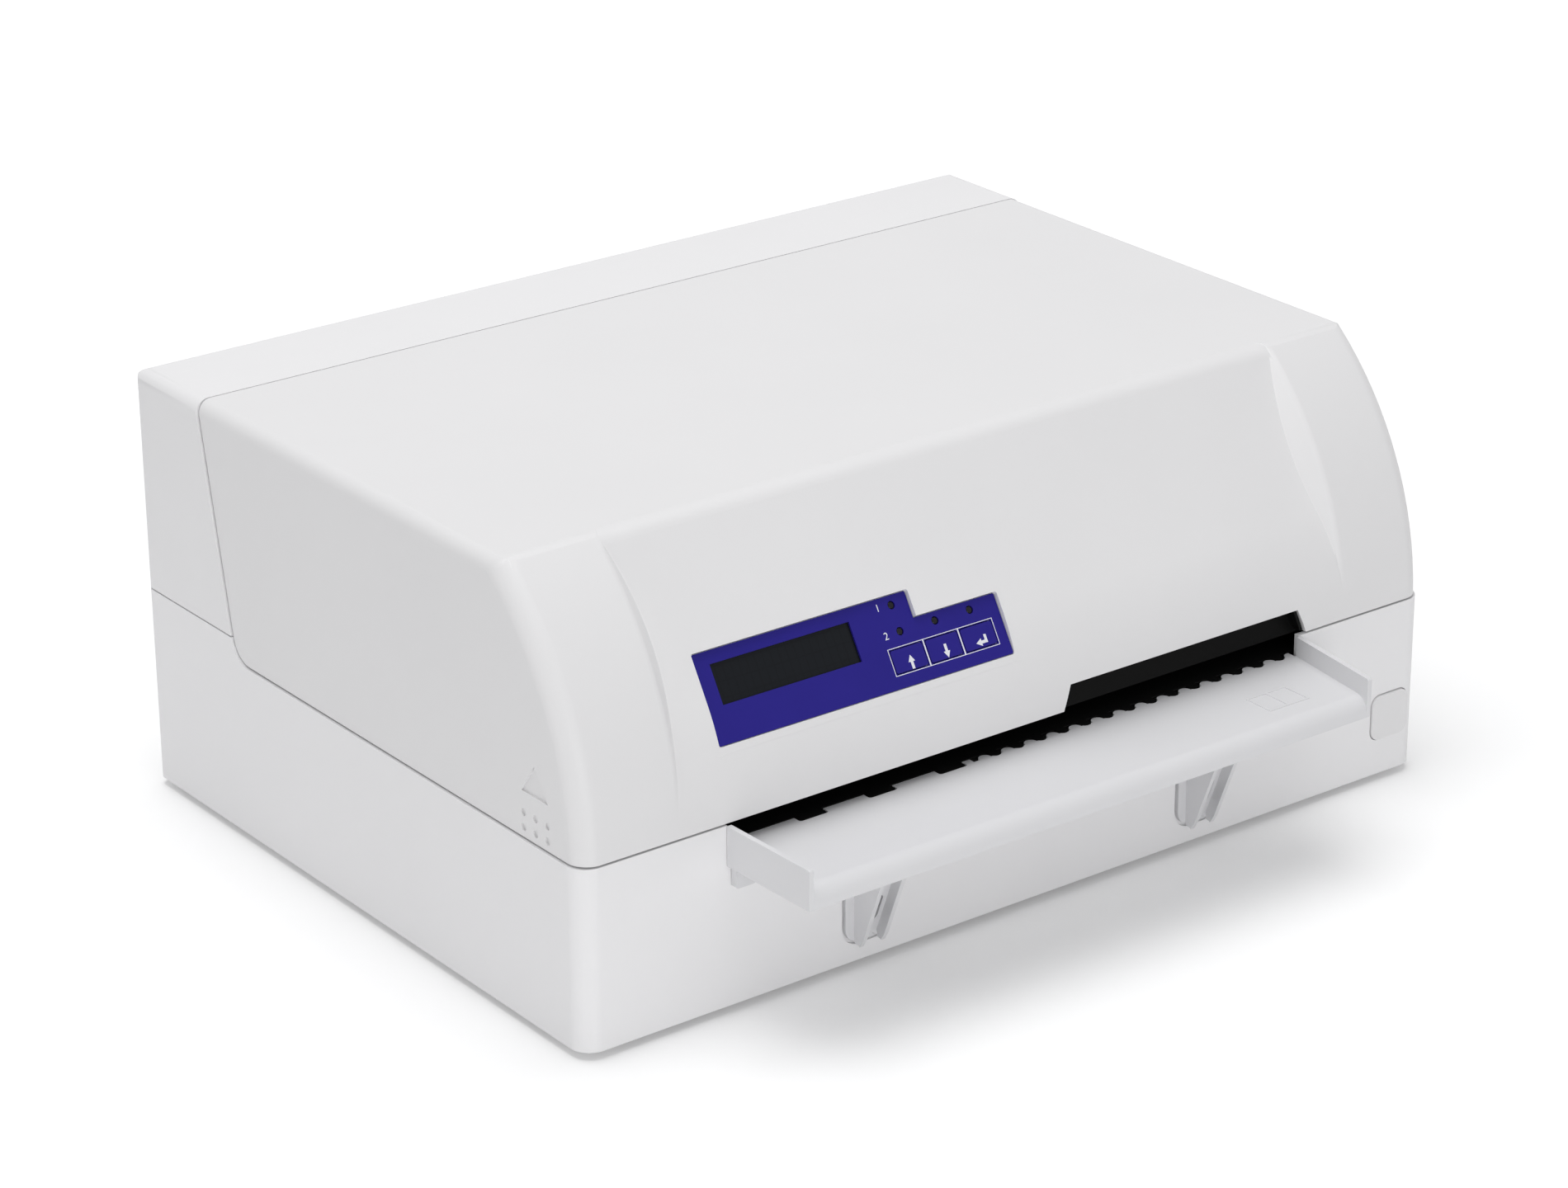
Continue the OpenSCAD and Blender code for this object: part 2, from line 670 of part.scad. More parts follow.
// ---- power button ----
button_x = case_w / 2 - button_side;
switch_y = 13;
module power_button() color(c_case) in_case() translate([button_x, 0, button_z]) {
    difference() {
        along_y(-1, 8) translate([-button_w / 2, -button_w / 2]) round_rect(button_w, button_w, 4);
        along_y(1.5, 9) translate([-button_w / 2 + 1.5, -button_w / 2 + 1.5])
            round_rect(button_w - 3, button_w - 3, 2.5);
    }
    along_y(1, switch_y + 2) circle(2.6);
}

module power_switch() color(c_black) in_case() translate([button_x, 0, button_z]) difference() {
    union() {
        along_y(switch_y, switch_y + 18) square(16, center = true);
        for (x = [-4, 4]) along_y(switch_y + 17, switch_y + 23)
            translate([x, 0]) square([0.8, 5], center = true);
    }
    along_y(switch_y - 1, switch_y + 2 + button_travel + 1) circle(2.9);
}

// ---- front table ----
bracket_xs = [-bracket_left_x, bracket_right_x];
tooth_r = tooth_pitch / 4;
table_back = 3.5;
first_peak = -19.2;
tooth_count = floor((table_right - first_peak) / tooth_pitch);

// Round-ended notches of the table's back edge, which the fingers of the lower guide fill
module edge_notches(shrink = 0) {
    for (x = [-95, -65, -34]) translate([x - 6.2 + shrink, shrink]) round_rect(12.4 - 2 * shrink, 8, 1.2);
    for (i = [0:tooth_count - 1]) translate([first_peak + tooth_pitch * (i + 0.5), tooth_r]) {
        circle(tooth_r - shrink);
        translate([shrink - tooth_r, 0]) square([2 * (tooth_r - shrink), 8]);
    }
}

// Strip of the floor that reaches into the mouth, with a row of round teeth to the right
module table_tongue() intersection() {
    translate([-table_left + table_t, -1])
        square([table_left + table_right - 2 * table_t - 0.4, table_back + 1]);
    union() {
        translate([-case_w, -1]) square([case_w + first_peak - tooth_pitch / 2, table_back + 1]);
        translate([-case_w, -1]) square([2 * case_w, table_back + 1 - tooth_r]);
        for (i = [0:tooth_count]) translate([first_peak + tooth_pitch * i, table_back - tooth_r])
            circle(tooth_r);
    }
}

// Plan of the table: its right end wall runs in towards the front
module table_plan(inset = 0) polygon([[-table_left + inset, -0.2], [-table_left + 1.2 + inset, -table_reach],
    [table_right - 6 - inset, -table_reach], [table_right - inset, -0.2]]);

module front_table() color(c_case) in_case() {
    // floor with its rolled front lip
    difference() {
        intersection() {
            translate([0, 0, table_low_z]) linear_extrude(30) union() {
                table_plan();
                table_tongue();
            }
            along_x(-case_w / 2, case_w / 2) lip_section();
        }
        translate([0, 0, table_low_z]) linear_extrude(20) edge_notches();
    }
    // end walls
    intersection() {
        translate([0, 0, table_low_z]) linear_extrude(30) difference() {
            table_plan();
            table_plan(table_t);
        }
        along_x(-case_w / 2, case_w / 2) translate([-table_reach, table_low_z])
            round_rect(table_reach + 10, table_top_z - table_low_z, 1);
    }
    // ribs below the floor, which end behind the roll of the lip, and a lug at each back corner
    for (x = [-110, 0, 110]) translate([x - 0.8, -table_reach + lip_r, table_low_z + 1])
        cube([1.6, table_reach - lip_r - 2, table_floor_z - table_low_z - 2]);
    for (x = [-table_left + 1.7, table_right - 10]) translate([x, 0, table_low_z - 8]) along_y(-3, -0.2)
        round_rect(8.3, 14, 1);
}

// Side view of the table's floor and lip
module lip_section() {
    z = table_floor_z;
    lip = table_reach - lip_r;
    polygon(concat([[table_back, z - table_t], [table_back, z]], arc(-lip, z - lip_r, lip_r, 90, 180, 10),
        [[-table_reach, table_low_z], [-table_reach + table_t, table_low_z]],
        arc(-lip, z - lip_r, lip_r - table_t, 180, 90, 10)));
}

// Support bracket: a swept channel on a flange that seats in its pocket, hooked by a tongue
channel_d = 4.5;
module table_bracket(x) translate([x, 0, 0]) {
    top = table_floor_z - table_t;
    // the part inside the mouth stays below the lower paper guide
    inner_top = guide_z - 0.6;
    root = 1.1;
    slope = 16.8 / 42.8;
    heel = [-5.7, bracket_low_z + 3.2];
    brow = heel[0] - slope * (top - heel[1]);
    for (s = [0, 1]) mirror([s, 0, 0]) along_x(bracket_w / 2 - bracket_t, bracket_w / 2)
        polygon([[root, bracket_low_z + 1.5], [-3.8, bracket_low_z], heel, [brow, top],
            [-0.2, top], [-0.2, inner_top], [root, inner_top]]);
    // web of the channel, with an arched lower end and a latch window
    difference() {
        along_x(-bracket_w / 2 + 0.1, bracket_w / 2 - 0.1)
            polygon([[heel[0] + channel_d - 0.5, bracket_low_z + 1.6], [heel[0] + channel_d, heel[1]],
                [brow + channel_d, top], [brow + channel_d + bracket_t, top],
                [heel[0] + channel_d + bracket_t, heel[1]],
                [heel[0] + channel_d + bracket_t - 0.5, bracket_low_z + 1.6]]);
        along_y(-20, 5) translate([0, bracket_low_z]) circle(3.2);
        along_y(-20, 5) translate([-2.6, tongue_z - 8]) round_rect(4.6, 11, 1.8);
    }
    along_y(root - bracket_t, root) {
        w = bracket_w + 7.4;
        difference() {
            translate([-w / 2, bracket_low_z + 0.7]) {
                round_rect(w, 30, 6);
                translate([0, 15]) square([w, mouth_z - bracket_low_z - 17]);
            }
            translate([-2.6, tongue_z - 8]) round_rect(5.2, 14, 1.8);
        }
        translate([-bracket_w / 2 + 0.1, tongue_z + 6]) square([bracket_w - 0.2, inner_top - tongue_z - 6]);
    }
    along_y(root - 0.5, 9) translate([-2.5, tongue_z + 8.6]) square([5, 4]);
}
module table_bracket_left() color(c_case) in_case() table_bracket(bracket_xs[0]);
module table_bracket_right() color(c_case) in_case() table_bracket(bracket_xs[1]);

// ---- chassis ----
// An idler between the two feed gears sets the distance of their shafts
feed_span = 2 * gear_module * feed_teeth;
feed_z = paper_z - feed_roller_r;
pinch_z = paper_z + 0.3 + pinch_roller_r;
rear_feed_y = front_feed_y + feed_span;
gear_r = gear_module * feed_teeth / 2;
pinion_r = gear_module * pinion_teeth / 2;
pinion_angle = -4 * 360 / feed_teeth;
motor_y = rear_feed_y + (gear_r + pinion_r) * cos(pinion_angle);
motor_z = feed_z + (gear_r + pinion_r) * sin(pinion_angle);
cassette_z = shaft_z + 21;
ear_z = cassette_z + 5;

module chassis_pan() color(c_steel) in_case() difference() {
    translate([-frame_in, pan_front, pan_z]) cube([2 * frame_in, frame_back - pan_front, pan_t]);
    for (x = [-90, 0, 90], y = [60, 120]) translate([x, y, pan_z - 1]) cylinder(r = 14, h = pan_t + 2);
}

module side_frame(s) translate([s * (frame_x - frame_t / 2), 0, 0]) along_x(-frame_t / 2, frame_t / 2)
    difference() {
        polygon([[20, pan_z], [frame_back, pan_z], [frame_back, 66], [138, cassette_z + cassette_h + 3],
            [42, cassette_z + cassette_h + 3], [20, 96]]);
        for (y = [front_feed_y, rear_feed_y]) {
            translate([y, feed_z]) circle(feed_shaft_r + run_gap);
            translate([y, pinch_z]) circle(pinch_shaft_r + run_gap);
        }
        translate([shaft_y, shaft_z]) circle(shaft_r);
        translate([print_y - 5.3, ear_z]) square([10.6, 40]);
        translate([motor_y, motor_z]) circle(8);
        translate([print_y - 16, 22]) round_rect(32, 16, 4);
        translate([belt_y - 8, 100]) round_rect(22, 12, 4);
    }
module side_frame_left() color(c_steel) in_case() {
    side_frame(-1);
    // stud of the idler gear
    along_x(-gear_x1 - 1.5, -frame_x + 0.1) translate([front_feed_y + feed_span / 2, feed_z]) circle(2.5);
}
module side_frame_right() color(c_steel) in_case() side_frame(1);

module carriage_shaft() color(c_steel) in_case() along_x(-frame_x - 4, frame_x + 4)
    translate([shaft_y, shaft_z]) circle(shaft_r);

rail_z = shaft_z + 6;
module guide_rail() color(c_steel) in_case() along_x(-frame_in, frame_in)
    polygon([[39, rail_z - 8], [41, rail_z - 8], [41, rail_z], [56, rail_z], [56, rail_z + 2],
        [39, rail_z + 2]]);

// ---- carriage, head and ribbon ----
belt_run_y = belt_y - pulley_r - 0.1;
belt_z = shaft_z - 3;

module carriage() color(c_black) in_case() difference() {
    union() {
        translate([-carriage_w / 2, shaft_y - 10, shaft_z - 9]) cube([carriage_w, 20, 16]);
        for (s = [0, 1]) mirror([s, 0, 0]) translate([15, 46, rail_z - 8]) cube([4, shaft_y - 50, 12]);
        translate([-19, 42.5, rail_z - 5]) cube([38, 15.5, 11]);
        translate([-8, shaft_y + 9, shaft_z - 6]) cube([16, belt_run_y - shaft_y - 9 + 3.5, 12]);
    }
    along_x(-100, 100) translate([shaft_y, shaft_z]) circle(shaft_r + run_gap);
    // shoe that grips the guide rail
    translate([-50, 30, rail_z - 0.3]) cube([100, 26.4, 2.6]);
    // clip that holds the front run of the belt
    translate([-20, belt_run_y - belt_t - 0.3, belt_z - 0.3]) cube([40, belt_t + 0.6, 30]);
}

nose_z = paper_z + 1.1;
head_top = rail_z + 4;
fin_pitch = (head_top - nose_z - 12) / fin_count;
module print_head() color(c_dark) in_case() translate([0, print_y, 0]) {
    // nose that guides the wires to the paper
    intersection() {
        along_y(-10, 10) polygon([[-11, nose_z + 10], [-4, nose_z + 4], [-3.5, nose_z], [3.5, nose_z],
            [4, nose_z + 4], [11, nose_z + 10]]);
        along_x(-12, 12) polygon([[-8, nose_z + 10], [-5, nose_z + 4], [-4.5, nose_z], [4.5, nose_z],
            [5, nose_z + 4], [8, nose_z + 10]]);
    }
    translate([0, 0, nose_z + 9.5]) cylinder(r = 9, h = head_top - nose_z - 9.5);
    for (i = [0:fin_count - 1]) translate([-head_w / 2, -11, nose_z + 11 + fin_pitch * i])
        cube([head_w, 22, fin_pitch / 2]);
    translate([-19, -11, head_top]) cube([38, 23, 2]);
    translate([-11, -5, head_top + 1]) cube([22, 8, 5]);
}

leg_x = frame_in - 15;
cassette_y = print_y - 30;
cassette_d = 56;
cassette_h = 16;
module ribbon_cassette() color(c_black) in_case() difference() {
    union() {
        translate([-frame_in + 10, cassette_y, cassette_z]) linear_extrude(cassette_h)
            round_rect(2 * frame_in - 20, cassette_d, 8);
        for (s = [0, 1]) mirror([s, 0, 0]) {
            translate([leg_x, print_y - 8, paper_z + 0.3]) cube([5, 16, cassette_z - paper_z]);
            translate([leg_x, print_y - 5, ear_z]) cube([frame_x - leg_x, 10, 4]);
        }
    }
    // grip hollows on the lid and the bore of the ribbon spindle
    for (x = [-40, 40]) translate([x - 15, cassette_y + 13, cassette_z + cassette_h - 3]) linear_extrude(10)
        round_rect(30, 26, 4);
    translate([knob_x, print_y, cassette_z + 4]) cylinder(r = spindle_r + run_gap, h = cassette_h);
}

knob_x = -frame_in + 44;
spindle_r = 3;
module ribbon_knob() color(c_case) in_case() translate([knob_x, print_y, cassette_z]) {
    translate([0, 0, 6]) cylinder(r = spindle_r, h = cassette_h - 5);
    translate([0, 0, cassette_h + 0.4]) difference() {
        cylinder(r = knob_r, h = 8);
        for (a = [0:30:330]) rotate(a) translate([knob_r + 0.4, 0, -1]) cylinder(r = 1.2, h = 10, $fn = 24);
    }
}

module ribbon_band() color(c_black) in_case()
    translate([-leg_x, print_y - 6.5, paper_z + 0.6]) cube([2 * leg_x, 13, 0.2]);

// ---- carriage drive ----
module stadium(r) {
    square([2 * pulley_x, 2 * r], center = true);
    for (s = [-1, 1]) translate([s * pulley_x, 0]) circle(r);
}
module carriage_belt() color(c_black) in_case() translate([0, belt_y, belt_z]) linear_extrude(belt_w)
    difference() { stadium(pulley_r + 0.1 + belt_t); stadium(pulley_r + 0.1); }

plate_z = shaft_z + 8;
module pulley() {
    translate([0, 0, belt_z - 0.5]) cylinder(r = pulley_r, h = belt_w + 1);
    for (z = [belt_z - 1.4, belt_z + belt_w + 0.4]) translate([0, 0, z]) cylinder(r = pulley_r + 2, h = 1);
}
module drive_pulley() color(c_steel) in_case() translate([-pulley_x, belt_y, 0]) {
    pulley();
    translate([0, 0, belt_z]) cylinder(r = 2, h = plate_z - belt_z + 9);
}
module idler_pulley() color(c_case) in_case() translate([pulley_x, belt_y, 0]) difference() {
    pulley();
    translate([0, 0, belt_z - 5]) cylinder(r = 2 + run_gap, h = 30);
}
module motor_bracket() color(c_steel) in_case() difference() {
    translate([-frame_in, belt_y - 16, plate_z]) cube([frame_in - pulley_x + motor_r + 3, 34, 2]);
    translate([-pulley_x, belt_y, 0]) cylinder(r = 4, h = 200);
}
module idler_bracket() color(c_steel) in_case() {
    translate([pulley_x - 15, belt_y - 14, plate_z]) cube([frame_in - pulley_x + 15, 28, 2]);
    translate([pulley_x, belt_y, belt_z - 3]) cylinder(r = 2, h = plate_z - belt_z + 3.5);
}
module carriage_motor() color(c_dark) in_case() translate([-pulley_x, belt_y, plate_z + 2]) difference() {
    union() {
        cylinder(r = motor_r, h = 26);
        cylinder(r = 5, h = 28);
    }
    translate([0, 0, -1]) cylinder(r = 2 + run_gap, h = 10);
}

// ---- paper path ----
roller_xs = [-105, -35, 35, 105];
roller_w = 28;
guide_z = table_floor_z - guide_t;

module roller_windows(y, r) for (x = roller_xs)
    translate([x - roller_w / 2 - 2, y - r, 40]) cube([roller_w + 4, 2 * r, 60]);

module lower_guide() color(c_black) in_case() {
    difference() {
        translate([-frame_in, table_back + 0.7, guide_z])
            cube([2 * frame_in, print_y - 5.5 - table_back - 0.7, guide_t]);
        roller_windows(front_feed_y, feed_roller_r + 1);
    }
    translate([0, 0, guide_z]) linear_extrude(guide_t) intersection() {
        edge_notches(0.4);
        translate([-case_w, 0]) square([2 * case_w, table_back + 1]);
    }
}

// Upper guide: a plate over the paper with a flared lip behind the slot
lip_low = [4.8, seam_z - 0.5];
lip_high = [9, slot_high_z + 2];
plate_y = [20, print_y - 9];
upper_z = paper_z + 1.4;
module upper_guide() color(c_black) in_case() {
    difference() {
        along_x(-frame_in, frame_in) polygon([lip_high, lip_low, [plate_y[0], upper_z],
            [plate_y[1], upper_z], [plate_y[1], upper_z + 1.5], [plate_y[0] + 0.6, upper_z + 1.5],
            lip_low + [2.6, 1.3], lip_high + [2, 0]]);
        roller_windows(front_feed_y, pinch_roller_r + 2);
    }
    // end cheek that closes the slot behind the hood's slanted edge
    intersection() {
        along_y(1.4, lip_high[0]) difference() {
            slot_shape(-0.4);
            translate([-1.4, 0]) slot_shape(-0.4);
            translate([-case_w, 0]) square([case_w + 60, 200]);
        }
        along_x(0, case_w) polygon([[-1, hood_low_z + 0.4], lip_low + [1.5, 1.6], lip_high + [1, 0],
            [-1, lip_high[1]]]);
    }
}

module rear_guide() color(c_black) in_case() difference() {
    union() {
        translate([-frame_in, print_y + 5.5, guide_z])
            cube([2 * frame_in, frame_back - print_y - 5.5, guide_t]);
        translate([-exit_w / 2 + 1, frame_back - 1, guide_z])
            cube([exit_w - 2, case_d - frame_back - 2, guide_t]);
        for (s = [0, 1]) mirror([s, 0, 0]) translate([exit_w / 2 - 4, frame_back - 1, guide_z])
            cube([2, case_d - frame_back - wall - 1, 6]);
    }
    roller_windows(rear_feed_y, feed_roller_r + 1);
}

module platen_bar() color(c_black) in_case() along_x(-frame_in, frame_in) {
    translate([print_y - 5, paper_z - 11]) square([10, 9]);
    translate([print_y - 4, paper_z - 5]) square([8, 4.6]);
}

gear_x0 = frame_x + 3;
gear_x1 = gear_x0 + gear_w;

module feed_shaft(y) along_x(-gear_x1 - 6, frame_x + 3) translate([y, feed_z]) circle(feed_shaft_r);
module feed_rollers(y) for (x = roller_xs) along_x(x - roller_w / 2, x + roller_w / 2)
    translate([y, feed_z]) difference() { circle(feed_roller_r); circle(feed_shaft_r); }
module pinch(y) {
    along_x(-frame_x - 2, frame_x + 2) translate([y, pinch_z]) circle(pinch_shaft_r);
    for (x = roller_xs) along_x(x - roller_w / 2, x + roller_w / 2)
        translate([y, pinch_z]) circle(pinch_roller_r);
}

// Half the angle that a tooth takes at radius r, from the involute of its base circle
function inv(a) = tan(a) * 180 / PI - a;
function tooth_half(teeth, r) = let (rp = gear_module * teeth / 2, rb = rp * cos(20))
    90 / teeth - backlash / 4 / rp * 180 / PI + inv(20) - inv(acos(min(1, rb / r)));

// Outline of an involute spur gear with a tooth pointing along the turn angle
module gear_outline(teeth, turn) {
    rp = gear_module * teeth / 2;
    rb = rp * cos(20);
    root = rp - 1.2 * gear_module;
    start = max(rb, root);
    radii = [for (i = [0:3]) start + (rp + 0.85 * gear_module - start) * i / 3];
    foot = tooth_half(teeth, start);
    polygon([for (k = [0:teeth - 1]) let (c = turn + 360 * k / teeth) each concat(
        [[root * cos(c - foot), root * sin(c - foot)]],
        [for (r = radii) let (a = c - tooth_half(teeth, r)) [r * cos(a), r * sin(a)]],
        [for (i = [3:-1:0]) let (r = radii[i], a = c + tooth_half(teeth, r)) [r * cos(a), r * sin(a)]],
        [[root * cos(c + foot), root * sin(c + foot)]])]);
}

module feed_gear(y, turn, bore) along_x(-gear_x1, -gear_x0) translate([y, feed_z]) difference() {
    gear_outline(feed_teeth, turn);
    circle(bore);
    for (a = [30:60:330]) rotate(a) translate([gear_r * 0.6, 0]) circle(gear_r * 0.16);
}

module front_feed_shaft() color(c_steel) in_case() feed_shaft(front_feed_y);
module front_feed_rollers() color(c_black) in_case() feed_rollers(front_feed_y);
module front_feed_gear() color(c_gear) in_case() feed_gear(front_feed_y, 0, feed_shaft_r);
module rear_feed_shaft() color(c_steel) in_case() feed_shaft(rear_feed_y);
module rear_feed_rollers() color(c_black) in_case() feed_rollers(rear_feed_y);
module rear_feed_gear() color(c_gear) in_case() feed_gear(rear_feed_y, 0, feed_shaft_r);
module idler_gear() color(c_gear) in_case()
    feed_gear(front_feed_y + feed_span / 2, 180 / feed_teeth, 2.5 + run_gap);
module front_pinch() color(c_steel) in_case() pinch(front_feed_y);
module rear_pinch() color(c_steel) in_case() pinch(rear_feed_y);

module feed_motor() color(c_dark) in_case() difference() {
    union() {
        along_x(-frame_in, -frame_in + 34) translate([motor_y, motor_z]) circle(17);
        along_x(-frame_x, -frame_in + 1) translate([motor_y, motor_z]) circle(7.95);
    }
    along_x(-frame_x - 1, -frame_in + 14) translate([motor_y, motor_z]) circle(2 + run_gap);
}
module motor_pinion() color(c_steel) in_case() {
    along_x(-gear_x1, -gear_x0) translate([motor_y, motor_z])
        gear_outline(pinion_teeth, pinion_angle + 180 + 180 / pinion_teeth);
    along_x(-gear_x1 - 1, -frame_in + 13) translate([motor_y, motor_z]) circle(2);
}

// ---- electronics ----
// The bay between the side frames' back edges and the back of the case
bay_y = frame_back + 8;
board_x0 = -14;
board_w = 176;
board_back = case_d - 19;
board_d = board_back - bay_y;
logic_posts = [for (x = [board_x0 + 6, board_x0 + board_w - 6],
    y = [bay_y + 6, board_back - 20]) [x, y]];
port_x0 = 8;
port_span = 140;
supply_x0 = -162;
supply_w = 120;
supply_d = case_d - bay_y - 29;
supply_posts = [for (x = [supply_x0 + 10, supply_x0 + supply_w - 10],
    y = [bay_y + 10, bay_y + supply_d - 10]) [x, y]];
inlet_x = -case_w / 2 + 52;
inlet_z = 26;

module main_board() color(c_pcb) in_case() {
    translate([board_x0, bay_y, board_z]) cube([board_w, board_d, 1.6]);
    // each chip or part: x, y, width, depth, height
    for (c = [[30, 22, 22, 22, 2], [70, 20, 30, 12, 3], [110, 18, 16, 16, 2],
            [20, board_d - 26, 14, 10, 8], [130, board_d - 34, 30, 14, 9],
            [60, board_d - 40, 12, 12, 12]])
        translate([board_x0 + c[0], bay_y + c[1], board_z + 1.5]) cube([c[2], c[3], c[4] + 0.1]);
}

module power_supply() color(c_steel) in_case() difference() {
    translate([supply_x0, bay_y, supply_z]) cube([supply_w, supply_d, 42]);
    for (i = [0:10]) translate([supply_x0 + 12 + 9 * i, bay_y + 12, supply_z + 40])
        cube([4, supply_d - 24, 5]);
}

// Steel plate behind the interface opening
module rear_panel() color(c_steel) in_case() difference() {
    translate([port_x0 - 8, case_d - wall - 1.2, board_z + 1.6]) cube([port_span + 16, 1.2, 24]);
    along_y(case_d - 20, case_d + 1) ports(0.3);
}
// Outlines of the parallel, the serial and the small square port, standing on the board
module ports(grow) for (p = [[0, 66, 13], [80, 31, 12.5], [126, 12, 11]])
    translate([port_x0 + p[0] - grow, board_z + 1.6 - grow]) square([p[1] + 2 * grow, p[2] + 2 * grow]);
module data_ports() color(c_steel) in_case() difference() {
    along_y(board_back - 14, case_d - 0.5) ports(0);
    along_y(case_d - 8, case_d + 1) ports(-1.2);
}

// Mains inlet: a snap-in block with three pins in its hollow
inlet_w = 27;
inlet_h = 20;
inlet_depth = 17;
module inlet_outline(grow = 0) translate([-inlet_w / 2 - grow, -inlet_h / 2 - grow])
    round_rect(inlet_w + 2 * grow, inlet_h + 2 * grow, 3);
module power_inlet() color(c_black) in_case() translate([inlet_x, 0, inlet_z]) {
    difference() {
        union() {
            along_y(case_d - inlet_depth - 7, case_d - 0.5) inlet_outline();
            along_y(case_d - wall - 2, case_d - wall) square([inlet_w + 7, inlet_h + 6], center = true);
        }
        along_y(case_d - inlet_depth, case_d + 1) inlet_outline(-1.6);
    }
    for (x = [-7, 0, 7]) along_y(case_d - inlet_depth - 1, case_d - 5)
        translate([x, x == 0 ? 2 : -2]) square([2, 4], center = true);
}

base_case();
rear_cover();
top_hood();
hinge_arm_left();
hinge_arm_right();
hinge_bracket_left();
hinge_bracket_right();
panel_overlay();
lcd_glass();
lcd_module();
panel_board();
panel_leds();
key_up();
key_down();
key_enter();
front_table();
table_bracket_left();
table_bracket_right();
power_button();
power_switch();
rubber_feet();
case_screws();
chassis_pan();
side_frame_left();
side_frame_right();
carriage_shaft();
guide_rail();
carriage();
print_head();
ribbon_cassette();
ribbon_band();
ribbon_knob();
carriage_belt();
carriage_motor();
motor_bracket();
idler_bracket();
drive_pulley();
idler_pulley();
platen_bar();
lower_guide();
upper_guide();
rear_guide();
front_feed_shaft();
front_feed_rollers();
front_feed_gear();
rear_feed_shaft();
rear_feed_rollers();
rear_feed_gear();
front_pinch();
rear_pinch();
feed_motor();
motor_pinion();
idler_gear();
main_board();
power_supply();
rear_panel();
power_inlet();
data_ports();
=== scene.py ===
import json
import math

import bpy
from mathutils import Matrix, Vector


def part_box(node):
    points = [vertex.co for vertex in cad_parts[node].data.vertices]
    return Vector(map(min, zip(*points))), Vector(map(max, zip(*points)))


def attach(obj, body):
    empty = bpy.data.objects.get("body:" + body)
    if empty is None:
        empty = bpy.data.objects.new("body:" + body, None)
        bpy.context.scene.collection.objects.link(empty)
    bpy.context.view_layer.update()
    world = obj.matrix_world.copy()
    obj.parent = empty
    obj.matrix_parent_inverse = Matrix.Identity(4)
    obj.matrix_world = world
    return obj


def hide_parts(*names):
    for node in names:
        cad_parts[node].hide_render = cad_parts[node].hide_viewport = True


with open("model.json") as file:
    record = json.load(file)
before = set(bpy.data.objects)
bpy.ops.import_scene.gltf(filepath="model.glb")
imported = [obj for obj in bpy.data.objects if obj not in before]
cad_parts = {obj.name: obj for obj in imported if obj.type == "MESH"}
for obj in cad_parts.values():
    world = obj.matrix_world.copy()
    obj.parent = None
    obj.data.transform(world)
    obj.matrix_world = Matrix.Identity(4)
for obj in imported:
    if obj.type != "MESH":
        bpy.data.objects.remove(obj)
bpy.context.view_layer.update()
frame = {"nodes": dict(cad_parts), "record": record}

# ---- Camera ----
# A long lens looks down on the left front corner, as in the photograph. Places are given as on
# the printer's drawings: millimetres to the right of its middle, behind the front of its case
# and above the case's lower edge.
MM = 0.001
CASE_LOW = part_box("base_case")[0]


def at(x, y, z):
    return Vector((x * MM, CASE_LOW.y + y * MM, CASE_LOW.z + z * MM))


CAMERA_TURN = math.radians(-37.0)
CAMERA_RISE = math.radians(22.9)
CAMERA_ROLL = math.radians(-0.34)
CAMERA_REACH = 1.6918
CAMERA_AIM = at(-9.6, 130.0, 77.15)
back = Vector((math.sin(CAMERA_TURN) * math.cos(CAMERA_RISE),
               -math.cos(CAMERA_TURN) * math.cos(CAMERA_RISE), math.sin(CAMERA_RISE)))
right = Vector((0, 0, 1)).cross(back).normalized()
up = back.cross(right)
camera_x = right * math.cos(CAMERA_ROLL) + up * math.sin(CAMERA_ROLL)
camera_y = up * math.cos(CAMERA_ROLL) - right * math.sin(CAMERA_ROLL)
camera = bpy.data.objects.new("camera", bpy.data.cameras.new("camera"))
camera.data.lens = 105.115
camera.data.clip_start = 0.05
camera.matrix_world = Matrix.LocRotScale(
    CAMERA_AIM + back * CAMERA_REACH,
    Matrix((camera_x, camera_y, back)).transposed(), None)
bpy.context.scene.collection.objects.link(camera)
bpy.context.scene.camera = camera
bpy.context.scene.view_settings.view_transform = "Standard"


# ---- Studio ----
# A plain pale floor that fades into a white room, with one large soft lamp overhead and a smaller
# one low down before each side that the camera sees. Sums on shader values are written as plain
# expressions: a wire carries a value from one node to the next.
class Wire:
    def __init__(self, nodes, socket):
        self.nodes = nodes
        self.socket = socket

    def worked_out(self, operation, *values):
        return self.nodes.node(
            "ShaderNodeMath", {"operation": operation}, dict(enumerate(values)))

    def __add__(self, other):
        return self.worked_out("ADD", self, other)

    __radd__ = __add__

    def __mul__(self, other):
        return self.worked_out("MULTIPLY", self, other)

    __rmul__ = __mul__


class Nodes:
    def __init__(self, owner):
        owner.use_nodes = True
        self.tree = owner.node_tree

    def feed(self, node, inputs):
        for key, value in inputs.items():
            if isinstance(value, Wire):
                self.tree.links.new(value.socket, node.inputs[key])
            elif node.inputs[key].type == "RGBA":
                node.inputs[key].default_value = (*value, 1)
            else:
                node.inputs[key].default_value = value

    def node(self, kind, settings=None, inputs=None, out=0):
        made = self.tree.nodes.new(kind)
        for key, value in (settings or {}).items():
            setattr(made, key, value)
        self.feed(made, inputs or {})
        return Wire(self, made.outputs[out])

    def seen(self):
        """1 for light that goes to the camera straight, off a gloss or through glass, else 0."""
        return sum(self.node("ShaderNodeLightPath", out=kind)
                   for kind in ("Is Camera Ray", "Is Glossy Ray", "Is Transmission Ray"))


